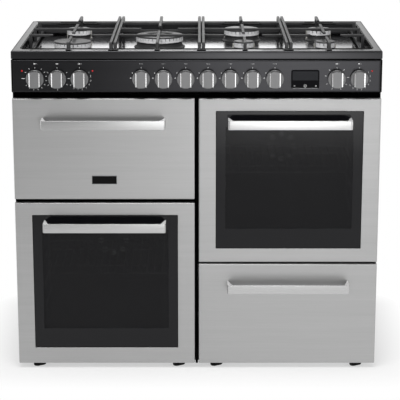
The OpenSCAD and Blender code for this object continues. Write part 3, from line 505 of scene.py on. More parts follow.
def brushed(finish, tint, rough, streak=0.10, lay=(0.012, 1, 1), fine=620, relief=0.10, edge=1.0):
    """Brushed metal: two noises drawn out along the lay shade the tint, shift the roughness and groove the
    surface. The edge is how much the metal brightens at a flat angle."""
    thin = finish.noise(fine, 3, 0.6, lay)
    wide = finish.noise(fine / 9, 2, 0.5, lay)
    cloud = finish.noise(5, 2, 0.5, (0.6, 1, 1))
    tone = 1 + (thin - 0.5) * (2 * streak) + (wide - 0.5) * streak + (cloud - 0.5) * (0.4 * streak)
    return finish.surface({
        "Base Color": finish.shade(tint, tone),
        "Metallic": 1.0,
        "Roughness": rough + (thin - 0.5) * 0.16 + (cloud - 0.5) * 0.06,
        "Specular Tint": (edge, edge, edge, 1),
        "Normal": finish.bump(thin + wide, relief, 0.0002)})


def brushed_steel(finish):
    return brushed(finish, colours().steel, 0.40)


def dark_steel(finish):
    return brushed(finish, colours().dark_steel, 0.22, streak=0.12, relief=0.06, edge=0.5)


def hob_steel(finish):
    return brushed(finish, colours().hob_steel, 0.22, streak=0.12, relief=0.06, edge=0.5)


def rim_steel_painted_highlight(finish):
    """The same steel on the rim's flat top, polished along its length."""
    return brushed(finish, 1.2 * colours().hob_steel, 0.20, streak=0.25, relief=0.04, edge=1.0)


def rear_steel_painted_shade(finish):
    """The same steel on the rim's rear part, which mirrors less at a flat angle."""
    return brushed(finish, colours().hob_steel, 0.30, streak=0.12, relief=0.06, edge=0.15)


def knob_steel(finish):
    return brushed(finish, colours().knob, 0.50, streak=0.08, lay=(1, 1, 0.03), fine=900)


# Lighter, glossier steel on the straight side bevels of a knob's grip: a painted highlight.
def knob_edge_painted_highlight(finish):
    return brushed(finish, (0.72, 0.72, 0.72), 0.24, streak=0.04, lay=(1, 1, 0.03), fine=900)


def handle_steel(finish):
    return brushed(finish, colours().handle, 0.25, streak=0.03, fine=1500, relief=0.02)


def leg_top_painted_highlight(finish):
    """The handles' metal without the polish, on the tops of their legs."""
    return brushed(finish, (0.85, 0.85, 0.85), 0.70, streak=0.03, fine=1500, relief=0.02)


def zinc_wire(finish):
    return brushed(finish, (0.55, 0.55, 0.56), 0.28, streak=0.08, lay=(1, 1, 1), fine=260)


def screw_steel(finish):
    return brushed(finish, (0.42, 0.42, 0.43), 0.32, streak=0.10, lay=(1, 1, 1), fine=900)


def galvanised_sheet(finish):
    """Zinc sheet: flat crystals, each with its own tone and gloss."""
    spangle = finish.node("ShaderNodeSeparateColor", inputs={0: finish.cells(150, "Color")})
    grain = finish.noise(240, 3, 0.6)
    return finish.surface({
        "Base Color": finish.shade(colours().zinc, 0.84 + 0.16 * spangle + 0.14 * grain),
        "Metallic": 0.85,
        "Roughness": 0.42 + 0.10 * spangle + 0.10 * (grain - 0.5),
        "Normal": finish.bump(grain, 0.05, 0.0005)})


def clouded(finish, tint, cloud, tone, rough, others=()):
    """A finish that one noise varies, the cloud. The tint is scaled by the first tone plus the second one
    times the cloud, and the roughness swings about its first value by its second one. The others are further
    sockets."""
    haze = finish.noise(*cloud)
    return finish.surface({
        "Base Color": finish.shade(tint, tone[0] + tone[1] * haze),
        "Roughness": rough[0] + rough[1] * (haze - 0.5),
        **dict(others)})


def hob_floor(finish):
    """Polished steel: soft waves bend its reflections a little, and fine wiping marks dull it."""
    return clouded(finish, colours().hob_floor, (160, 4, 0.6, (0.3, 1, 1)), (0.9, 0.2), (0.15, 0.10), {
        "Metallic": 1.0,
        "Normal": finish.bump(finish.noise(7, 1, 0.4), 0.25, 0.004)})


def painted(finish, tint, rough, grain=900, relief=0.12, gloss=0.5):
    """Paint with an orange-peel skin."""
    return clouded(finish, tint, (18, 3), (0.85, 0.3), (rough, 0.14), {
        "Specular IOR Level": gloss,
        "Normal": finish.bump(finish.noise(grain), relief, 0.0003)})


def black_paint(finish):
    return painted(finish, colours().black, 0.55, gloss=0.2)


def black_plastic(finish):
    return painted(finish, colours().black, 0.42, grain=1600)


# Black of the front frame, darker and less glossy than the other black paint: partly the frame's own black
# paint, partly painted shade of the gaps between the doors.
def frame_black_painted_shade(finish):
    return painted(finish, (0.001, 0.001, 0.001), 0.6, gloss=0.02)


def side_trim(finish):
    return painted(finish, (0.003, 0.003, 0.003), 0.35, grain=1600, relief=0.05, gloss=0.08)


def switch_plastic(finish):
    return painted(finish, (0.55, 0.54, 0.50), 0.45, grain=1500)


def white_ceramic(finish):
    return painted(finish, (0.50, 0.49, 0.46), 0.25, grain=500, relief=0.05)


def cap_enamel(finish):
    """Matt enamel of the burner caps, dulled here and there by heat."""
    return clouded(finish, (0.03, 0.03, 0.031), (34, 4, 0.6), (0.7, 0.6), (0.30, 0.20), {
        "Normal": finish.bump(finish.noise(900), 0.12, 0.0003)})


def burner_alloy(finish):
    """Cast aluminium: a fine grain with slightly duller patches."""
    return clouded(finish, colours().alloy, (40, 2), (0.85, 0.2), (0.36, 0.2), {
        "Metallic": 0.15,
        "Normal": finish.bump(finish.noise(800, 3, 0.6), 0.15, 0.0003)})


def white_ink(finish):
    """Screen-printed ink, slightly uneven."""
    return clouded(finish, colours().ink, (700, 3, 0.6), (0.8, 0.4), (0.5, 0.2))


def display_glass(finish):
    """Front of the clock: black glass with a faint haze."""
    return clouded(finish, (0.004, 0.004, 0.005), (60, 3), (0.8, 0.4), (0.13, 0.06), {
        "Specular IOR Level": 0.012})


def black_enamel(finish):
    """Fired enamel: deep gloss with sparse pale flecks."""
    peel = finish.noise(70)
    fleck = (finish.cells(420) < 0.16) * (finish.noise(300, 0) > 0.6)
    return finish.surface({
        "Base Color": finish.mix(fleck, (0.014, 0.014, 0.016), (0.16, 0.16, 0.17)),
        "Roughness": 0.14 + 0.12 * (peel - 0.5),
        "Normal": finish.bump(peel, 0.10, 0.0006)})


def cast_iron(finish):
    """Sand-cast iron under satin enamel: two sizes of grain raise it and break its gloss."""
    sand = finish.noise(520, 4, 0.6)
    lump = finish.noise(90)
    return finish.surface({
        "Base Color": finish.shade(colours().iron, 0.7 + 0.6 * sand),
        "Roughness": 0.40 + 0.24 * (lump - 0.5),
        "Normal": finish.bump(sand + 0.6 * lump, 0.35, 0.0006)})


def element_metal(finish):
    """Sheath of the elements: grey metal with brown heat stains."""
    stain = finish.noise(26, 3, 0.6)
    return finish.surface({
        "Base Color": finish.mix((2.2 * (stain - 0.4)).held(), (0.16, 0.16, 0.16), (0.11, 0.075, 0.055)),
        "Metallic": 0.9,
        "Roughness": 0.35 + 0.3 * stain,
        "Normal": finish.bump(finish.noise(700), 0.1, 0.0003)})


def brass(finish):
    """Machined brass with dull, slightly brown patches."""
    patch = finish.noise(30, 3, 0.6)
    return finish.surface({
        "Base Color": finish.mix(patch, (0.62, 0.44, 0.16), (0.42, 0.27, 0.10)),
        "Metallic": 1.0,
        "Roughness": 0.25 + 0.25 * patch,
        "Normal": finish.bump(finish.noise(900), 0.08, 0.0002)})


def seal_rubber(finish):
    """Woven seal: two slanting waves cross over and under each other."""
    x, z = finish.along(0), finish.along(2)
    weave = (((x + z) * 2600).wave() * ((x - z) * 2600).wave() + 1) * 0.5
    return finish.surface({
        "Base Color": finish.mix(weave, (0.010, 0.010, 0.010), (0.035, 0.035, 0.035)),
        "Roughness": 0.75 + 0.15 * weave,
        "Normal": finish.bump(weave, 0.5, 0.0005)})


def window_mask(finish):
    """1 inside the see-through window of either door, 0 in the dark border, with a soft edge of 2 mm."""
    x, z = finish.along(0), finish.along(2)
    soft = 500

    def between(place, low, high):
        return (((high - low) / 2 - abs(place - (low + high) / 2)) * soft + 0.5).held()

    left, right = [between(x, low[0], high[0]) * between(z, low[2], high[2]) for low, high in (
        np.divide(window_corners(f"{door}_door_glass"), 1000) for door in ("left", "right"))]
    return left + right


def smoked_glass(finish):
    """Door glass: an opaque border, a dark see-through window in it, and a trace of dust."""
    return clouded(finish, colours().glass, (55, 5, 0.65), (0.8, 0.8), (0.09, 0.06), {
        "Specular IOR Level": 0.27,
        "Alpha": 1 - 0.45 * window_mask(finish),
        "Normal": finish.bump(finish.noise(4, 0), 0.08, 0.002)})


def clear_glass(finish):
    """Inner pane: nearly clear, with a light film of use."""
    film = (20, 5, 0.65)
    return clouded(finish, (0.02, 0.018, 0.016), film, (0.6, 0.8), (0.08, 0.08), {
        "Alpha": 0.15 + 0.30 * finish.noise(*film)})


def display_screen(finish):
    """Unlit screen behind the glass: a slightly bluish grey with fine rows."""
    rows = (finish.along(2) * 9000).wave()
    return finish.surface({
        "Base Color": finish.mix(rows * 0.5 + 0.5, (0.010, 0.011, 0.013), (0.015, 0.016, 0.019)),
        "Roughness": 0.22 + 0.05 * rows,
        "Specular IOR Level": 0.07})


def red_lens(finish):
    """Red lens that is just alight, with fine ribs."""
    ribs = (finish.along(0) * 7000).wave()
    return finish.surface({
        "Base Color": finish.shade(colours().lamp, 0.85 + 0.15 * ribs),
        "Roughness": 0.2 + 0.05 * ribs,
        "Emission Color": (*colours().lamp, 1),
        "Emission Strength": 0.25})


# Front panels

def folded_panel(low, high, opening=None, corner=2.0):
    """A sheet with folded edges. Its section (inset, depth) runs from behind the face out along the inside of
    the fold, over its edge and round the fold to the face. An opening between two corners has a rounded
    lip."""
    size = sizes()
    front, back = low[1], high[1]
    outer = eased([
        (size.sheet + 0.5, front + 2), (size.sheet, front + 2), (size.sheet, back), (0, back),
        (0, front), (size.fold * 2.5, front)], [0.1, 0.2, 0.2, size.fold * 1.4])
    rings = framed(outer, low, high, corner)
    if opening is None:
        return Shell().loft(rings)
    lip = eased([(-4, front), (0, front), (0, front + 2), (-0.6, front + 2)], [1.1, 0.2])
    return Shell().loft(np.concatenate([rings, framed(lip, *opening, 1.5)]), loop=True)


def hinge_slots(low, high):
    """Slots in the lower fold of a door for its hinge arms."""
    inset, half = 80, 5.5
    slots = Shell()
    for x in (low[0] + inset, high[0] - inset):
        slots.loft(slab((x - half, low[1] + 3, low[2] - 1), (x + half, high[1] + 1, low[2] + 3), 0.1))
    return slots


def make_doors():
    """The three steel doors and the glass of the two oven doors."""
    for door, body in (("grill", "grill_door"), ("left", "left_oven_door"), ("right", "right_oven_door")):
        skin, glass = f"{door}_door_skin", f"{door}_door_glass"
        low, high = corners(skin)
        opening = None if door == "grill" else glass_opening(glass)
        piece(f"{door}_door_panel", folded_panel(low, high, opening), [brushed_steel], [skin], body,
              cutter=hinge_slots(low, high))
        if opening:
            make_glass(door, glass, body)


def glass_overlap():
    """How far a pane reaches past its opening along x, y and z."""
    return sizes().glass_lap * np.array([1, 0, 1])


def glass_opening(node):
    """The corners of the opening that an outer pane closes."""
    low, high = corners(node)
    return low + glass_overlap(), high - glass_overlap()


def window_corners(node):
    """The corners of the see-through window of a pane, inside its dark border."""
    size = sizes()
    low, high = glass_opening(node)
    return low + [size.window_side, 0, size.window_bottom], high - [size.window_side, 0, size.window_top]


def make_glass(door, node, body):
    """The outer and the inner pane of an oven door, with ground edges, and the trim around the outer one."""
    thick, edge, corner = 4, 0.5, 3
    low, high = corners(node)
    outer = slab(low, (high[0], low[1] + thick, high[2]), edge, corner)
    piece(f"{door}_outer_glass", Shell().loft(outer), [smoked_glass], [node], body)
    pane_low, pane_high = window_corners(node)
    pane_low[1] = high[1] - thick
    inner = slab(pane_low - glass_overlap(), pane_high + glass_overlap(), edge, corner)
    piece(f"{door}_inner_glass", Shell().loft(inner), [clear_glass], [], body)
    hole_low, hole_high = glass_opening(node)
    trim = bead(hole_low + [0.7, -0.5, 0.7], hole_high - [0.7, 0, 0.7], 1.5, 0.7, 0.5)
    piece(f"{door}_glass_trim", Shell().loft(trim, loop=True), [side_trim], [], body)


def make_drawer():
    """The drawer's folded front."""
    piece("drawer_panel", folded_panel(*corners("drawer_front")), [brushed_steel], ["drawer_front"], "drawer")


def make_handles():
    """Four handles: a strap with rounded edges whose ends turn back to the door in legs that grow thinner.
    The legs' tops are satin."""
    size, bend = sizes(), 8
    leg_tops = slice(3, 6)
    for node, body in (("grill_door_handle", "grill_door"), ("left_door_handle", "left_oven_door"),
                       ("right_door_handle", "right_oven_door"), ("drawer_handle", "drawer")):
        low, high = corners(node)
        middle, half, height = (low + high) / 2, (high[0] - low[0]) / 2, high[2] - low[2]
        out, foot = low[1], high[1]
        outer = eased([(-half, foot), (-half, out), (half, out), (half, foot)], 6, bend)
        inner = eased([
            (-half + size.leg_back, foot), (-half + size.leg_front, out + size.strap),
            (half - size.leg_front, out + size.strap), (half - size.leg_back, foot)], 5, bend)
        across = outer - inner
        thick = np.linalg.norm(across, axis=1)
        rings = [
            upright_ring(point + [middle[0], 0], way, middle[2], rounded_loop(t, height, 1.1))
            for point, way, t in zip((outer + inner) / 2, across / thick[:, None], thick)]
        # Painted highlight: the faces on the legs' tops take the lighter leg steel.
        satin = np.zeros((len(rings) - 1, len(rings[0])), int)
        satin[:bend, leg_tops] = satin[-bend:, leg_tops] = 1
        piece(f"{node}_strap", Shell().loft(rings, satin), [handle_steel, leg_top_painted_highlight], [node], body)


def make_badge():
    """A bare plate with a raised rim on the grill door."""
    low, high = corners("badge_plate")
    shell = Shell().loft(slab(low + [0, 0.2, 0], high, 0.25, 1.5))
    shell.loft(bead(low + [0.6, 0.35, 0.6], high - [0.6, 0, 0.6], 1.5, 0.45, 0.3), 1, loop=True)
    piece("badge_blank", shell, [side_trim, screw_steel], ["badge_plate"], "grill_door")


# Control panel

def make_control_panel():
    """The dark fascia panel with folded edges, its end caps and the holes for spindles, lamps and clock."""
    low, high = corners("control_panel")
    cap = sizes().end_cap
    shell = folded_panel(low + [cap, 0, 0], high - [cap, 0, 0], corner=0.6)
    screw = [(1.2, 0.3), (1.1, -0.6), (0.3, -1)]
    for x0, x1 in ((low[0], low[0] + cap), (high[0] - cap, high[0])):
        shell.loft(slab((x0, low[1] + 0.2, low[2]), (x1, high[1], high[2]), 0.8), 1)
        shell.loft(turned(screw, ((x0 + x1) / 2, low[1], low[2] + 3), 1, 12), 2)
    holes = Shell()
    for x, z in [centre(node)[[0, 2]] for node in KNOBS]:
        holes.loft(turned([(5, -1), (5, 5)], (x, low[1], z), 1, 24))
    for x, z in lamp_places():
        holes.loft(turned([(2.5, -1), (2.5, 5)], (x, low[1], z), 1, 16))
    clock_low, clock_high = corners("display_module")
    holes.loft(slab((clock_low[0] + 3, low[1] - 1, clock_low[2] + 3),
                    (clock_high[0] - 3, low[1] + 5, clock_high[2] - 3), 0.1))
    piece("fascia_panel", shell, [dark_steel, side_trim, screw_steel], ["control_panel"], cutter=holes)


def lamp_places():
    """Centres (x, z) of the lamps: beside and above the middle of the first, the third and the last knob."""
    beside, above = 35, 20.6
    sides = ((KNOBS[0], -1), (KNOBS[2], 1), (KNOBS[-1], 1))
    return [centre(node)[[0, 2]] + [way * beside, above] for node, way in sides]


def make_lamps():
    """Three lamps: a domed red lens with a collar and a stem behind the panel."""
    dome = eased([
        (0.3, -1.5), (1.8, -1.4), (2.35, -0.4), (2.35, 1.5), (4, 1.5), (4, 7.5), (2.4, 7.5), (2.4, 13.5),
        (0.3, 13.5)], 0.5)
    shell = Shell()
    for x, z in lamp_places():
        shell.loft(turned(dome, (x, FRONT, z), 1, 24))
    piece("lamp_lenses", shell, [red_lens], ["indicator_lamps"])


def grip_loop(half, radius, steps=9):
    """The outline of a knob's grip: two arcs of a circle at the top and the bottom, cut off straight at both
    sides."""
    start = np.arccos(half / radius)
    arc = np.linspace(start, np.pi - start, steps)
    top = np.stack([radius * np.cos(arc), np.minimum(radius * np.sin(arc), 0.965 * radius)], 1)
    return np.concatenate([top, -top])


def make_knobs():
    """Twelve knobs: a round skirt, a tall grip with light bevels along both sides, and the spindle."""
    size = sizes()
    half, bevel = size.grip / 2, size.grip_edge
    for node in KNOBS:
        low, high = corners(node)
        middle = (low + high) / 2
        axle, radius = middle * [1, 0, 1], (high[0] - low[0]) / 2
        front, back = low[1], FRONT - 1.5
        skirt = back - size.skirt
        disc = eased([
            (1, skirt + 0.3), (radius - 2.2, skirt + 0.3), (radius - 1.6, skirt), (radius, skirt + 0.6),
            (radius, back), (1, back)], [0.3, 0.4, 0.9, 0.6])
        shell = Shell().loft(turned(disc, axle, 1, 64))
        section = [
            (half + bevel + 0.6, skirt + 1), (half + bevel + 0.5, skirt),
            (half + bevel, front + bevel * 0.62), (half + 0.2, front + 0.1), (half, front),
            (half - 0.6, front)]
        reach = np.array([-0.4, -0.4, -0.6, -1.5, -1.9, -2.4]) + radius
        rings = [placed(grip_loop(a, r), y, middle, 1) for (a, y), r in zip(section, reach)]
        around = len(rings[0])
        # Painted highlight: only the bevels of the grip's straight sides take the lighter edge steel.
        bright = np.zeros((len(rings) - 1, around), int)
        bright[2, [around // 2 - 1, around - 1]] = 2
        shell.loft(rings, bright)
        spindle = [(2.6, back - 1), (3, back - 0.6), (3, high[1] - 0.5), (2.5, high[1])]
        shell.loft(turned(spindle, axle, 1, 20), 1)
        piece(f"{node}_turned", shell, [knob_steel, screw_steel, knob_edge_painted_highlight], [node], node, crease=24)


# Marks of the dials: their angles in degrees clockwise from the top, how far they lie outside the ring, their
# width and their height
FUNCTION_MARKS = {
    "knob_grill": [
        ([34, 56, 78, 101, 123, 145, 166, 188, 210, 232, 303, 329], 0, 1.4, 3.6), (270, 1.5, 1.6, 9)],
    "knob_left_function": [([57, 123, 180, 234, 302], 0, 1.4, 4.2), (90, 0.5, 1.6, 6.5)],
    "knob_right_function": [([39, 122, 158, 203, 241, 283, 319], 0, 1.5, 4), (84, 0, 1.6, 5.5)]}
FLAME_MARKS = [(302, -2, 2.4, 2.4), (272, -2.5, 1.4, 4.2), (272, -0.5, 1.4, 2.2), (150, -2.5, 1.1, 2.6)]
HEAT_NUMBERS = [57, 78, 101, 123, 145, 167, 189, 211, 233]


def marks(shell, middle, angle, radius, width, height, upright=False):
    """Thin printed bars: boxes a fraction of a millimetre thick, around a middle at an angle and a radius,
    that point outwards or stand upright."""
    turn = np.radians(np.atleast_1d(angle).astype(float))[:, None]
    own = np.zeros_like(turn) if upright else turn
    unit = np.array([[-1, -1], [1, -1], [1, 1], [-1, 1]]) / 2 * [width, height]
    x = unit[:, 0] * np.cos(own) + unit[:, 1] * np.sin(own) + (middle[0] + radius * np.sin(turn))
    z = unit[:, 1] * np.cos(own) - unit[:, 0] * np.sin(own) + (middle[2] + radius * np.cos(turn))
    for xs, zs in zip(x, z):
        shell.loft([np.stack([xs, np.full(4, y), zs], 1) for y in (FRONT - 0.2, FRONT + 0.1)])


def number(shell, text, x, z, height):
    """A printed number, from the plain built-in font."""
    curve = bpy.data.curves.new("number", "FONT")
    curve.body, curve.size, curve.extrude, curve.resolution_u = text, height, 0.1, 2
    curve.align_x, curve.align_y = "CENTER", "CENTER"
    holder = linked("number", curve)
    mesh = evaluated_mesh(holder)
    flat = np.empty(len(mesh.vertices) * 3)
    mesh.vertices.foreach_get("co", flat)
    flat = flat.reshape(-1, 3)
    points = np.stack([x + flat[:, 0], FRONT - 0.1 - flat[:, 2], z + flat[:, 1]], 1)
    shell.add(points, [list(p.vertices) for p in mesh.polygons], 0)
    bpy.data.objects.remove(holder)
    bpy.data.curves.remove(curve)
    bpy.data.meshes.remove(mesh)


def burner_diagram(shell, middle, place):
    """A row of small squares, the burner's own one taller."""
    count, pitch, out = 4, 2.6, 9.3
    for i in range(count):
        tall = 1.9 if i == place * count // len(BURNER_KNOBS) else 0.9
        aside = [(i - (count - 1) / 2) * pitch, 0, 0]
        marks(shell, middle + aside, 0, sizes().dial_radius + out, 1.1, tall)


def make_dials():
    """The printed marks: a tick and a small diagram above each knob, and the ring of marks around it."""
    radius, sign_out, digit = sizes().dial_radius, 9.5, 6.5
    shell = Shell()
    for node in KNOBS:
        middle = centre(node)
        marks(shell, middle, 0, radius - 1.2, 1.5, 2.6)
        if node in BURNER_KNOBS:
            burner_diagram(shell, middle, BURNER_KNOBS.index(node))
            for angle, out, width, height in FLAME_MARKS:
                marks(shell, middle, angle, radius + out, width, height, upright=True)
            continue
        marks(shell, middle + [-0.8, 0, 0], 0, radius + sign_out, 5.4, 2.6)
        marks(shell, middle + [4.6, 0, 0], 0, radius + sign_out, 1.2, 1.2)
        for angle, out, width, height in FUNCTION_MARKS.get(node, ()):
            marks(shell, middle, angle, radius + out, width, height)
        if node not in FUNCTION_MARKS:
            for i, turn in enumerate(np.radians(HEAT_NUMBERS)):
                x, z = middle[0] + radius * math.sin(turn), middle[2] + radius * math.cos(turn)
                number(shell, str(i + 1), x, z, digit)
    piece("printed_marks", shell, [white_ink])


def make_clock():
    """The clock: a rounded black front with a fine edge line and a satin strip along its foot, a screen,
    three touch signs, and its housing."""
    low, high = corners("display_module")
    x0, face, z0 = low
    x1, back, z1 = high
    glass, screen, edge, housing, ink, strip = range(6)
    shell = Shell().loft(slab(low, (x1, FRONT, z1), 0.9, 5, steps=4), glass)
    shell.loft(slab((x0 + 3.3, FRONT - 0.01, z0 + 3.3), (x1 - 3.3, FRONT + 2, z1 - 3.3), 0.2), housing)
    shell.loft(slab((x0, FRONT + 1.5, z0), (x1, back, z1), 0.8), housing)
    line = FRONT - 0.25
    shell.loft(bead((x0 + 0.4, line, z0 + 0.4), (x1 - 0.4, line, z1 - 0.4), 5, 0.4, 0.3), edge, loop=True)
    # Painted reflection: a metal strip along the foot of the front only, for the floor mirrored in its lower
    # edge.
    shell.loft(slab((x0 + 4, face - 0.3, z0 + 0.3), (x1 - 4, face + 0.3, z0 + 1.8), 0.2), strip)
    screen_z = z0 + 0.44 * (z1 - z0)
    shell.loft(slab((x0 + 3.5, face - 0.15, screen_z), (x1 - 3.5, face + 0.2, z1 - 3.5), 0.1, 1.5), screen)
    sign_z, arm, thin, minus, plus = z0 + 7.5, 2.4, 0.5, x0 + 9, x1 - 9
    for x, reach, tall in ((minus, arm, thin), (plus, arm, thin), (plus, thin, arm)):
        start, end = (x - reach, face - 0.15, sign_z - tall), (x + reach, face + 0.1, sign_z + tall)
        shell.loft(slab(start, end, 0.05), ink)
    ring = [(2.6, face - 0.15), (3.8, face - 0.15), (3.8, face + 0.1), (2.6, face + 0.1)]
    shell.loft(turned(ring, ((x0 + x1) / 2, 0, sign_z), 1, 32), ink, loop=True)
    finishes = [display_glass, display_screen, screw_steel, black_plastic, white_ink, knob_steel]
    piece("clock_front", shell, finishes, ["display_module"])


# Hob

def make_hob():
    """The hob tray. A section (inset, height) starts under the floor of the recess, goes up and out under the
    rim, round the skirt, across the rim, and down into the recess to the floor. A black bead lines the
    recess."""
    size, sheet, steps = sizes(), 2, 9
    low, high = corners("hob_tray")
    skirt, floor, outer_corner = corners("side_panels")[1][2], RIM - size.recess, 3
    recess_low = np.array([low[0] + size.rim_side, low[1] + size.rim_front, RIM])
    recess_high = np.array([high[0] - size.rim_side, high[1] - size.rim_rear, RIM])

    def inside(section, corner):
        return framed(section, recess_low, recess_high, corner, 2, steps)

    def outside(section):
        return framed(section, low, high, outer_corner, 2, steps)

    under_wall = eased([
        (14, floor - sheet), (3 - sheet, floor - sheet), (-sheet, RIM - sheet), (-7, RIM - sheet)], [8, 4], 6)
    over = eased([(sheet, skirt), (0, skirt), (0, RIM), (9, RIM)], [0.3, size.hob_edge * 1.3], 6)
    wall = eased([(-7, RIM), (0, RIM), (3, floor), (14, floor)], [4.5, 7], 6)
    rings = np.concatenate([
        inside(under_wall, size.recess_corner + sheet), outside([(9, RIM - sheet), (sheet, RIM - sheet)]),
        outside(over), inside(wall, size.recess_corner)])
    # Painted highlight: the rim's flat top takes a brightened copy of the hob steel.
    rim_bands, floor_bands, rear_side = slice(-17, -14), slice(-5, None), steps - 1
    finishes = np.zeros((len(rings) - 1, len(rings[0])), int)
    # Painted shade: the rim's rear part takes a darker copy of the hob steel.
    finishes[rim_bands], finishes[floor_bands], finishes[rim_bands, rear_side] = 1, 2, 4
    shell = Shell().loft(rings, finishes)
    shell.loft(bead(recess_low, recess_high, size.recess_corner, 2.4, 1.8, 2, steps), 3, loop=True)
    piece("hob_pressing", shell, [hob_steel, rim_steel_painted_highlight, hob_floor, side_trim, rear_steel_painted_shade], ["hob_tray"],
          crease=40)


def burners():
    """The burners as (x, y, radius): each in the middle of its pan support."""
    size = sizes()
    front, rear = FRONT + size.burner_front, FRONT + size.burner_rear
    places = [
        ("left", front, size.rapid), ("left", rear, size.middle), ("wok", FRONT + size.burner_wok, size.wok),
        ("centre", rear, size.rapid), ("centre", front, size.small), ("right", rear, size.middle),
        ("right", front, size.small)]
    return [(centre(f"pan_support_{support}")[0], y, radius) for support, y, radius in places]


def make_burners():
    """Cups with their flanges, domed caps and spark electrodes of the seven burners. Their flame rings stay
    CAD nodes."""
    low, _ = corners("burner_bases")
    rings_low, rings_high = corners("burner_rings")
    caps_low, caps_high = corners("burner_caps")
    floor, wall_top, cap_h = RIM - sizes().recess, rings_low[2], caps_high[2] - caps_low[2]
    top = rings_high[2] - floor
    middle_lid, lid_inner, lid_flat = 25, 40, 54
    screws_out = 0.7 * lid_flat
    screw = [(2.6, 0), (2.6, 0.5), (2, 1), (0.3, 1.1)]
    plug = eased([
        (0.3, 0), (2.8, 0), (2.8, 3.5), (2, 5), (2, top - 7), (1.5, top - 6), (0.3, top - 6)], 0.6)
    pin = [(0.75, top - 7), (0.75, top - 0.4), (0.3, top)]
    cups, caps, sparks = Shell(), Shell(), Shell()
    for x, y, radius in burners():
        cup = eased([
            (0.5, low[2]), (radius - 9, low[2]), (radius - 9, floor), (radius + 6, floor),
            (radius + 6, floor + 1.5), (radius - 1, floor + 4.5), (radius - 3, wall_top - 4),
            (radius - 1, wall_top - 0.1), (0.5, wall_top - 0.1)], [2, 0.5, 0.5, 1, 3, 3, 1])
        cups.loft(turned(cup, (x, y, 0), sides=64))
        edge = radius + 1
        if radius == sizes().wok:
            ring = [
                (lid_inner, 0), (edge - 1, 0), (edge, 1), (edge - 0.4, cap_h - 1.4), (edge - 3, cap_h - 0.2),
                (lid_flat, cap_h), (lid_inner + 2, cap_h - 0.4), (lid_inner, cap_h - 1.6)]
            caps.loft(turned(eased(ring + ring[:1], 1.4), (x, y, caps_low[2]), sides=96), loop=True)
            for out in (-screws_out, screws_out):
                caps.loft(turned(screw, (x + out, y + out, caps_high[2] - 1.1), sides=16), 1)
            edge = middle_lid
        dome = eased([
            (0.5, 0), (edge - 1, 0), (edge, 1), (edge - 0.4, cap_h - 1.4), (edge - 3, cap_h - 0.4),
            (edge * 0.55, cap_h), (0.5, cap_h - 0.2)], [0.8, 0.8, 1.2, 2, 6])
        caps.loft(turned(dome, (x, y, caps_low[2]), sides=64))
        for angle in (35, 145):
            turn, reach = math.radians(angle), radius + 8.3
            at = (x + reach * math.cos(turn), y + reach * math.sin(turn), floor)
            sparks.loft(turned(plug, at, sides=16))
            sparks.loft(turned(pin, at, sides=10), 1)
    piece("burner_cups", cups, [cast_iron], ["burner_bases"])
    piece("burner_lids", caps, [cap_enamel, screw_steel], ["burner_caps"])
    piece("spark_plugs", sparks, [white_ceramic, screw_steel], ["burner_electrodes"])
    dress("burner_rings", burner_alloy)


def bar(start, end, low, high, width, tip=0.0, taper=0.16, edge=1.5):
    """A cast bar from start to end (x, y): rounded rectangles, narrower towards the top, shrunk a little at
    both ends. With a tip, the underside of the far end slopes up over that length to a thin nose."""
    nose = 4
    start, end = np.asarray(start, float), np.asarray(end, float)
    span = np.linalg.norm(end - start)
    along = (end - start) / span
    across = np.array([-along[1], along[0]])
    places = [0, edge, span - max(tip, 2 * edge), span - edge, span] if tip else [0, edge, span - edge, span]
    rings = []
    for place in places:
        rise = np.clip((place - (span - tip)) / tip, 0, 1) if tip else 0
        bottom = low + rise * (high - nose - low)
        shrink = edge if place in (0, span) else 0
        height = high - bottom - shrink
        loop = rounded_loop(width - shrink, height, edge, 4)
        loop[:, 0] *= 1 - taper * (loop[:, 1] / height + 0.5)
        rings.append(upright_ring(start + along * place, across, (bottom + high - shrink) / 2, loop))
    return rings


def make_supports():
    """Four cast-iron pan supports: long bars, cross bars and fingers whose tips slope, low rails and feet."""
    for name, open_side, two_rows in (
            ("left", -1, True), ("wok", 0, False), ("centre", 0, True), ("right", 1, True)):
        make_support(f"pan_support_{name}", open_side, two_rows)


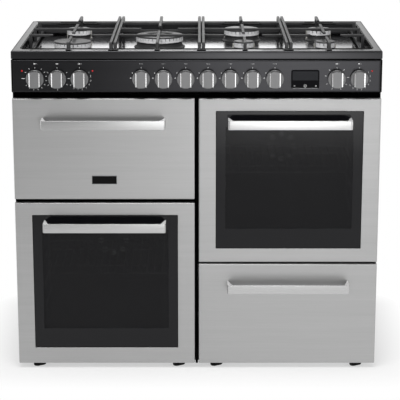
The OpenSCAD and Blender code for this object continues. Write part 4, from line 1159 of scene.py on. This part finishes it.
def make_support(node, open_side, two_rows):
    """One pan support. The outer ones have only a low rail on their open side."""
    size, half = sizes(), 4.5
    low, high = corners(node)
    top, front, rear = high[2], low[1], high[1]
    thin, deep, low_top = top - 7, top - 13, low[2] + 9
    left, right = low[0] + half, high[0] - half
    middle = (left + right) / 2
    rails = FRONT + 49.5, FRONT + 530.5
    wok = FRONT + size.burner_wok
    rows = [FRONT + size.burner_front, FRONT + size.burner_rear] if two_rows else []
    around_burner, around_wok, wok_bars, slope = 40, 48, 122, 12
    shell = Shell()

    def beam(start, end, bottom=thin, upper=top, tip=0.0):
        shell.loft(bar(start, end, bottom, upper, 2 * half, tip))

    def fingers(*ends):
        """Bars with a sloping tip, from each start to its end."""
        for start, end in ends:
            beam(start, end, tip=slope)

    def across(y, bottom=thin, upper=top):
        beam((left - half, y), (right + half, y), bottom, upper)

    def feet(x):
        """At both ends a leg on the rim with its pad, and a post down to the low rail."""
        for y, rail in ((front + half, rails[0]), (rear - half, rails[1])):
            shell.loft(post(x, y, 4, RIM + 0.3, top - 1))
            shell.loft(post(x, y, (7, 6.5), RIM + 0.3, RIM + 3.5, 1.0, 2.5))
            shell.loft(post(x, rail, 4.2, low[2], top - 2))

    for x, way in ((left, -1), (right, 1)):
        if way == open_side:
            beam((x, rails[0] - half), (x, rails[1] + half), low[2], low_top)
            for y in rows + [wok]:
                shell.loft(post(x, y, half, low[2], top, 1.5))
        else:
            beam((x, front), (x, rear), deep)
            feet(x)
    for y in rails:
        across(y, low[2], low_top)
    feet(middle)
    if two_rows:
        across(wok)
        fingers(*[((middle, start), (middle, end)) for start, end in (
            (front, rows[0] - around_burner), (wok, rows[0] + around_burner), (wok, rows[1] - around_burner),
            (rear, rows[1] + around_burner))])
    else:
        across(wok - wok_bars)
        across(wok + wok_bars)
        fingers(((middle, front), (middle, wok - around_wok)), ((middle, rear), (middle, wok + around_wok)))
    for y in rows or [wok]:
        fingers(((left, y), (left + size.finger, y)), ((right, y), (right - size.finger, y)))
    piece(f"{node}_cast", shell, [cast_iron], [node], node, crease=38)


# Inside and underneath

def make_feet():
    """Eight feet, each a lobed pad with a rounded edge, a hexagonal nut and a threaded stud, and the strip
    that closes the gap between the columns at its lower end."""
    low, high = corners("levelling_feet")
    pad, radius, inner_x, pitch = 10.5, 19.8, 53, 0.75
    profile = eased([
        (1, 0), (radius - 2, 0), (radius, 2.5), (radius, pad - 3), (radius - 4, pad), (1, pad)], 1.5)
    nut = [(8.5, pad - 1), (8.5, pad + 3), (7.5, pad + 3.6), (5, pad + 3.6)]
    turns = np.arange(9)
    thread = np.stack([np.where(turns % 2, 5.0, 4.4), pad + 3 + turns * pitch], 1)
    stud = np.vstack([[(1, pad)], thread, [(4.6, high[2] - 1), (3.8, high[2]), (1, high[2])]])
    shell = Shell()
    for x in (low[0] + radius, -inner_x, inner_x, high[0] - radius):
        for y in (low[1] + radius, high[1] - radius):
            shell.loft(turned(profile, (x, y, 0), sides=60, lobes=sizes().lobes, depth=0.28))
            shell.loft(turned(nut, (x, y, 0), sides=6), 1)
            shell.loft(turned(stud, (x, y, 0), sides=20), 1)
    piece("lobed_feet", shell, [side_trim, screw_steel], ["levelling_feet"])
    # The strip takes the front frame's darkened black, a painted shade.
    strip = slab((-3.5, FRONT + 5, 13), (3.5, corners("front_frame")[0][1] + 0.5, 60), 0.5)
    piece("post_foot", Shell().loft(strip), [frame_black_painted_shade])


def oven_hollow(node):
    """The lowest and the highest corner of the space inside a cavity, without its flange and walls."""
    low, high = corners(node)
    return low + [10, 0, 10], high - [10, 2, 10]


def make_racks():
    """Wire ladders at the side walls of both ovens, and a shelf in each: a rim, rods from front to back, and
    two wires across under them."""
    radius = sizes().wire
    shell = Shell()
    for node in ("left_oven_cavity", "right_oven_cavity"):
        low, high = oven_hollow(node)
        middle, tall, half = (low[0] + high[0]) / 2, 0.8 * (high[2] - low[2]), (high[0] - low[0]) / 2
        front, back = low[1] + 15, high[1] - 55
        bottom, rise = low[2] + tall / 8, (tall - 4) / 4
        for side in (-1, 1):
            wall = middle + side * (half - radius)
            inner = wall - side * 5
            for y in (front + 2.5, back - 2.5):
                shell.loft(wire([(wall, y, bottom), (wall, y, bottom + tall)], radius, (0, 1, 0)))
            for z in bottom + 2 + rise * np.arange(5):
                path = eased([(wall, front, z), (inner, front, z), (inner, back, z), (wall, back, z)], 3)
                shell.loft(wire(path, radius))
        shelf, z = half - 5, bottom + 2 * rise + 6.5
        y0, y1 = front + 5, back - 5
        loop = rounded_loop(2 * shelf - 2 * radius, y1 - y0 - 2 * radius, 12)
        rim = np.column_stack([middle + loop[:, 0], (y0 + y1) / 2 + loop[:, 1], np.full(len(loop), z)])
        shell.loft(wire(rim, radius + 0.5, closed=True), loop=True)
        for x in middle + np.linspace(-shelf + 15, shelf - 15, 17):
            shell.loft(wire([(x, y0 + 1, z), (x, y1 - 1, z)], radius * 0.8, sides=8))
        for y in (y0 + 90, y1 - 90):
            ends = [(middle - shelf + 2, y, z - 2.5), (middle + shelf - 2, y, z - 2.5)]
            shell.loft(wire(ends, radius, sides=8))
    piece("wire_racks", shell, [zinc_wire], ["oven_racks"])


def make_seals():
    """A woven seal around each cavity mouth: a flat oval bead around a rounded rectangle."""
    out = 5.5
    y = centre("door_seals")[1]
    shell = Shell()
    for node in ("grill_cavity", "left_oven_cavity", "right_oven_cavity"):
        low, high = oven_hollow(node)
        start, end = (low[0] - out, y, low[2] - out), (high[0] + out, y, high[2] + out)
        shell.loft(bead(start, end, 10, 3.5, 1.75, sides=14), loop=True)
    piece("woven_seals", shell, [seal_rubber], ["door_seals"])


def make_screws():
    """Pan-head screws of the back panel, each with a cross in its head, and two domed ones low on each side
    of the casing."""
    low, high = corners("back_panel")
    back, third, inset = high[1], (high[0] - low[0]) / 3, 12
    head = eased([(0.4, 2), (2.4, 1.9), (4, 0.7), (4, 0), (2.1, 0), (2.1, -6), (0.4, -6)], 0.6)
    shell = Shell()
    for x in (low[0] + inset, low[0] + third, high[0] - third, high[0] - inset):
        for z in (low[2] + 28.5, high[2] - 20):
            shell.loft(turned(head, (x, back, z), 1, 24))
            for wide, tall in ((2.2, 0.45), (0.45, 2.2)):
                shell.loft(slab((x - wide, back + 1, z - tall), (x + wide, back + 2.05, z + tall), 0.05), 1)
    dome = eased([(0.4, 3), (3.4, 2.7), (5, 1), (5, 0), (0.4, 0)], 0.9)
    wall, behind = corners("side_panels")[1][0], 32
    for z in (34.5, 48.5):
        for side in (-1, 1):
            shell.loft(turned(dome * [1, side], (side * wall, FRONT + behind, z), 0, 24), 1)
    piece("casing_screws", shell, [screw_steel, black_plastic], ["case_screws"])


def make_inlets():
    """The terminal box with its lid and screws, and the gland under it."""
    low, high = corners("power_inlet")
    middle = (low + high) / 2
    back, box_low, lid = high[1], low[2] + 20, 4
    shell = Shell().loft(slab((low[0], low[1], box_low), (high[0], back - lid, high[2]), 1.5, 4))
    shell.loft(slab((low[0] + 1, back - lid, box_low + 1), (high[0] - 1, back, high[2] - 1), 1.2, 4))
    for x in (low[0] + 8, high[0] - 8):
        shell.loft(turned([(3, -0.5), (3, -0.1), (0.3, 0)], (x, back, middle[2] + 10), 1, 16), 1)
    at = (middle[0], middle[1], low[2])
    bush = eased([(6, 0), (10, 0), (10, 10), (8.5, 11), (8.5, 20.5), (6, 20.5)], 0.8)
    shell.loft(turned(bush, at, sides=32), loop=True)
    shell.loft(turned([(8.2, 5), (10, 5), (10, 11), (8.2, 11)], at, sides=6), 1, loop=True)
    piece("terminal_box", shell, [black_plastic, screw_steel], ["power_inlet"])


def dress_cad():
    """Finishes of the CAD nodes whose shape stays."""
    for maker, nodes in {
        black_paint: ["side_panels"],
        galvanised_sheet: [
            "back_panel", "base_pan", "drawer_box", "drawer_runners", "door_hinges", "fan_motors"],
        frame_black_painted_shade: ["front_frame"],
        black_enamel: [
            "grill_cavity", "left_oven_cavity", "right_oven_cavity", "fan_covers", "grill_door_liner",
            "left_door_liner", "right_door_liner"],
        element_metal: ["heating_elements"],
        burner_alloy: ["left_fan", "right_fan"],
        brass: ["gas_rail"],
        switch_plastic: ["oven_switches"],
    }.items():
        for node in nodes:
            dress(node, maker)


# Studio

def sheet_on_stage(name, finish, place, turn, width, height):
    """A flat sheet of the studio."""
    mesh = bpy.data.meshes.new(name)
    x, y = width / 2, height / 2
    mesh.from_pydata([(-x, -y, 0), (x, -y, 0), (x, y, 0), (-x, y, 0)], [], [(0, 1, 2, 3)])
    mesh.materials.append(finish.owner)
    sheet = linked(name, mesh)
    sheet.location, sheet.rotation_euler = place, turn
    return sheet


def make_floor():
    """A pale floor. Close to the object it keeps a soft shadow, and further out the camera sees it white.
    Reflections see it grow brighter from the left to the right, and near the object."""
    finish = Finish(bpy.data.materials.new("studio_floor"))
    x, y = finish.along(0), finish.along(1)
    beside, before = (abs(x) - 0.5).held(0, 9), (abs(y) - 0.3).held(0, 9)
    fade = (((beside ** 2 + before ** 2) ** 0.5) / 0.14).held()
    camera = finish.node("ShaderNodeLightPath", out="Is Camera Ray")
    glossy = finish.node("ShaderNodeLightPath", out="Is Glossy Ray")
    ramp = ((x + 0.7) / 1.3).held() * 0.75 + 0.05
    near = ((y + 1.6) / 0.9).held() * (0.55 + 0.55 * (x / 0.6).held())
    mirrored = ramp.math("MAXIMUM", ramp, near)
    plain = finish.node("ShaderNodeBsdfPrincipled", inputs={
        "Base Color": finish.shade((0.88, 0.88, 0.88), 0.99 + 0.02 * finish.noise(40, 3)),
        "Roughness": 1.0, "Specular IOR Level": 0.0})
    white = finish.node("ShaderNodeEmission", inputs={"Color": (1, 1, 1, 1), "Strength": 1.0})
    finish.blend(camera * (1 - (1 - fade) * studio().shadow) + glossy * mirrored, plain, white)
    sheet_on_stage("studio_floor", finish, (0, 0, 0), (0, 0, 0), 24, 24)


def make_glow(name, place, width, height, radiance):
    """A soft screen: its light falls off from the middle to the edges as a squared cosine both ways, and
    everything behind it shows through."""
    finish = Finish(bpy.data.materials.new(name))
    across = (finish.along(0) * (math.pi / width)).wave("COSINE")
    upward = (finish.along(1) * (math.pi / height)).wave("COSINE")
    light = finish.node("ShaderNodeEmission", inputs={"Color": (1, 1, 1, 1), "Strength": radiance})
    clear = finish.node("ShaderNodeBsdfTransparent")
    finish.blend(across ** 2 * upward ** 2, clear, light)
    screen = sheet_on_stage(name, finish, place, (math.pi / 2, 0, 0), width, height)
    screen.visible_camera = False


def make_world():
    """White surroundings for camera rays, and an even light for the rest."""
    world = bpy.data.worlds.new("studio")
    bpy.context.scene.world = world
    surround = Finish(world)
    seen = surround.node("ShaderNodeLightPath", out="Is Camera Ray")
    even, white = [
        surround.node("ShaderNodeBackground", inputs={"Color": (1, 1, 1, 1), "Strength": strength})
        for strength in (studio().ambient, 1.0)]
    surround.blend(seen, even, white, "ShaderNodeOutputWorld")


def softbox(name, place, aim, width, height, radiance):
    """An area lamp of a given radiance that looks at a point, and that no camera ray sees."""
    data = bpy.data.lights.new(name, "AREA")
    data.shape, data.size, data.size_y = "RECTANGLE", width, height
    data.energy = radiance * math.pi * width * height
    lamp = linked(name, data)
    lamp.location = place
    way = np.array(aim) - np.array(place)
    flat = math.hypot(way[0], way[1])
    lamp.rotation_euler = (math.atan2(flat, -way[2]), 0, math.atan2(-way[0], way[1]))
    lamp.visible_camera = False


def make_camera():
    """The camera in front of the cooker, looking down a little so that the front and the hob both show."""
    light = studio()
    data = bpy.data.cameras.new("camera")
    data.lens, data.sensor_width = light.lens, 36
    camera = linked("camera", data)
    camera.location = (light.side, FRONT / 1000 - light.distance, light.height)
    camera.rotation_euler = (math.pi / 2 - light.pitch, 0, 0)
    bpy.context.scene.camera = camera


def make_studio():
    """Floor, surroundings, camera, two soft screens and four softboxes."""
    bpy.context.scene.view_settings.view_transform = "Standard"
    make_floor()
    make_world()
    make_camera()
    make_glow("front_screen", (0.43, -3.2, 0.42), 1.9, 1.2, 4.6)
    make_glow("back_screen", (-0.05, 3.0, 1.42), 2.4, 0.8, 2.8)
    softbox("right_box", (2.9, -1.8, 0.9), (0.3, 0, 0.7), 1.2, 1.6, 2.2)
    softbox("left_box", (-2.9, -1.6, 0.9), (-0.3, 0, 0.7), 1.2, 1.6, 1.8)
    softbox("top_box", (0.2, -0.2, 3.0), (0, 0, 0.9), 2.2, 1.4, 1.6)
    softbox("hob_box", (-0.2, -1.3, 2.6), (0, 0, 0.9), 1.6, 0.8, 8.0)


# Operators, panel and registration

def operator(name, label, work):
    """An operator class that runs one of the making functions."""

    def execute(self, context):
        work()
        return {"FINISHED"}

    return type(f"COOKER_OT_{name}", (Operator,), {
        "bl_idname": f"cooker.{name}", "bl_label": label, "__doc__": work.__doc__, "execute": execute})


STEPS = [
    operator("doors", "Doors", make_doors),
    operator("drawer", "Drawer", make_drawer),
    operator("handles", "Handles", make_handles),
    operator("badge", "Badge plate", make_badge),
    operator("control_panel", "Control panel", make_control_panel),
    operator("lamps", "Lamps", make_lamps),
    operator("knobs", "Knobs", make_knobs),
    operator("dials", "Dials", make_dials),
    operator("clock", "Clock", make_clock),
    operator("hob", "Hob", make_hob),
    operator("burners", "Burners", make_burners),
    operator("supports", "Pan supports", make_supports),
    operator("feet", "Feet", make_feet),
    operator("racks", "Oven racks", make_racks),
    operator("seals", "Door seals", make_seals),
    operator("screws", "Screws", make_screws),
    operator("inlets", "Inlets", make_inlets),
    operator("casing", "Casing and inner parts", dress_cad),
    operator("studio", "Studio", make_studio),
]


class COOKER_PT_dressing(Panel):
    """Lists the steps that dress the range cooker."""

    bl_idname = "COOKER_PT_dressing"
    bl_label = "Range cooker"
    bl_space_type = "VIEW_3D"
    bl_region_type = "UI"
    bl_category = "Range cooker"

    def draw(self, context):
        for step in STEPS:
            self.layout.operator(step.bl_idname)


GROUPS = {"cooker_sizes": CookerSizes, "cooker_colours": CookerColours, "studio_light": StudioLight}


def register():
    for group in GROUPS.values():
        bpy.utils.register_class(group)
    for name, group in GROUPS.items():
        setattr(bpy.types.Scene, name, PointerProperty(type=group))
    for step in STEPS:
        bpy.utils.register_class(step)
    bpy.utils.register_class(COOKER_PT_dressing)


def unregister():
    bpy.utils.unregister_class(COOKER_PT_dressing)
    for step in reversed(STEPS):
        bpy.utils.unregister_class(step)
    for name, group in GROUPS.items():
        delattr(bpy.types.Scene, name)
        bpy.utils.unregister_class(group)


def plain(box):
    """A box as lists of numbers."""
    return [[float(value) for value in corner] for corner in box]


def main():
    """Registers the classes, runs the steps in order and writes the CAD box and the dressed box to a file."""
    register()
    for step in STEPS:
        getattr(bpy.ops.cooker, step.bl_idname.split(".")[1])()


if __name__ == "__main__":
    main()
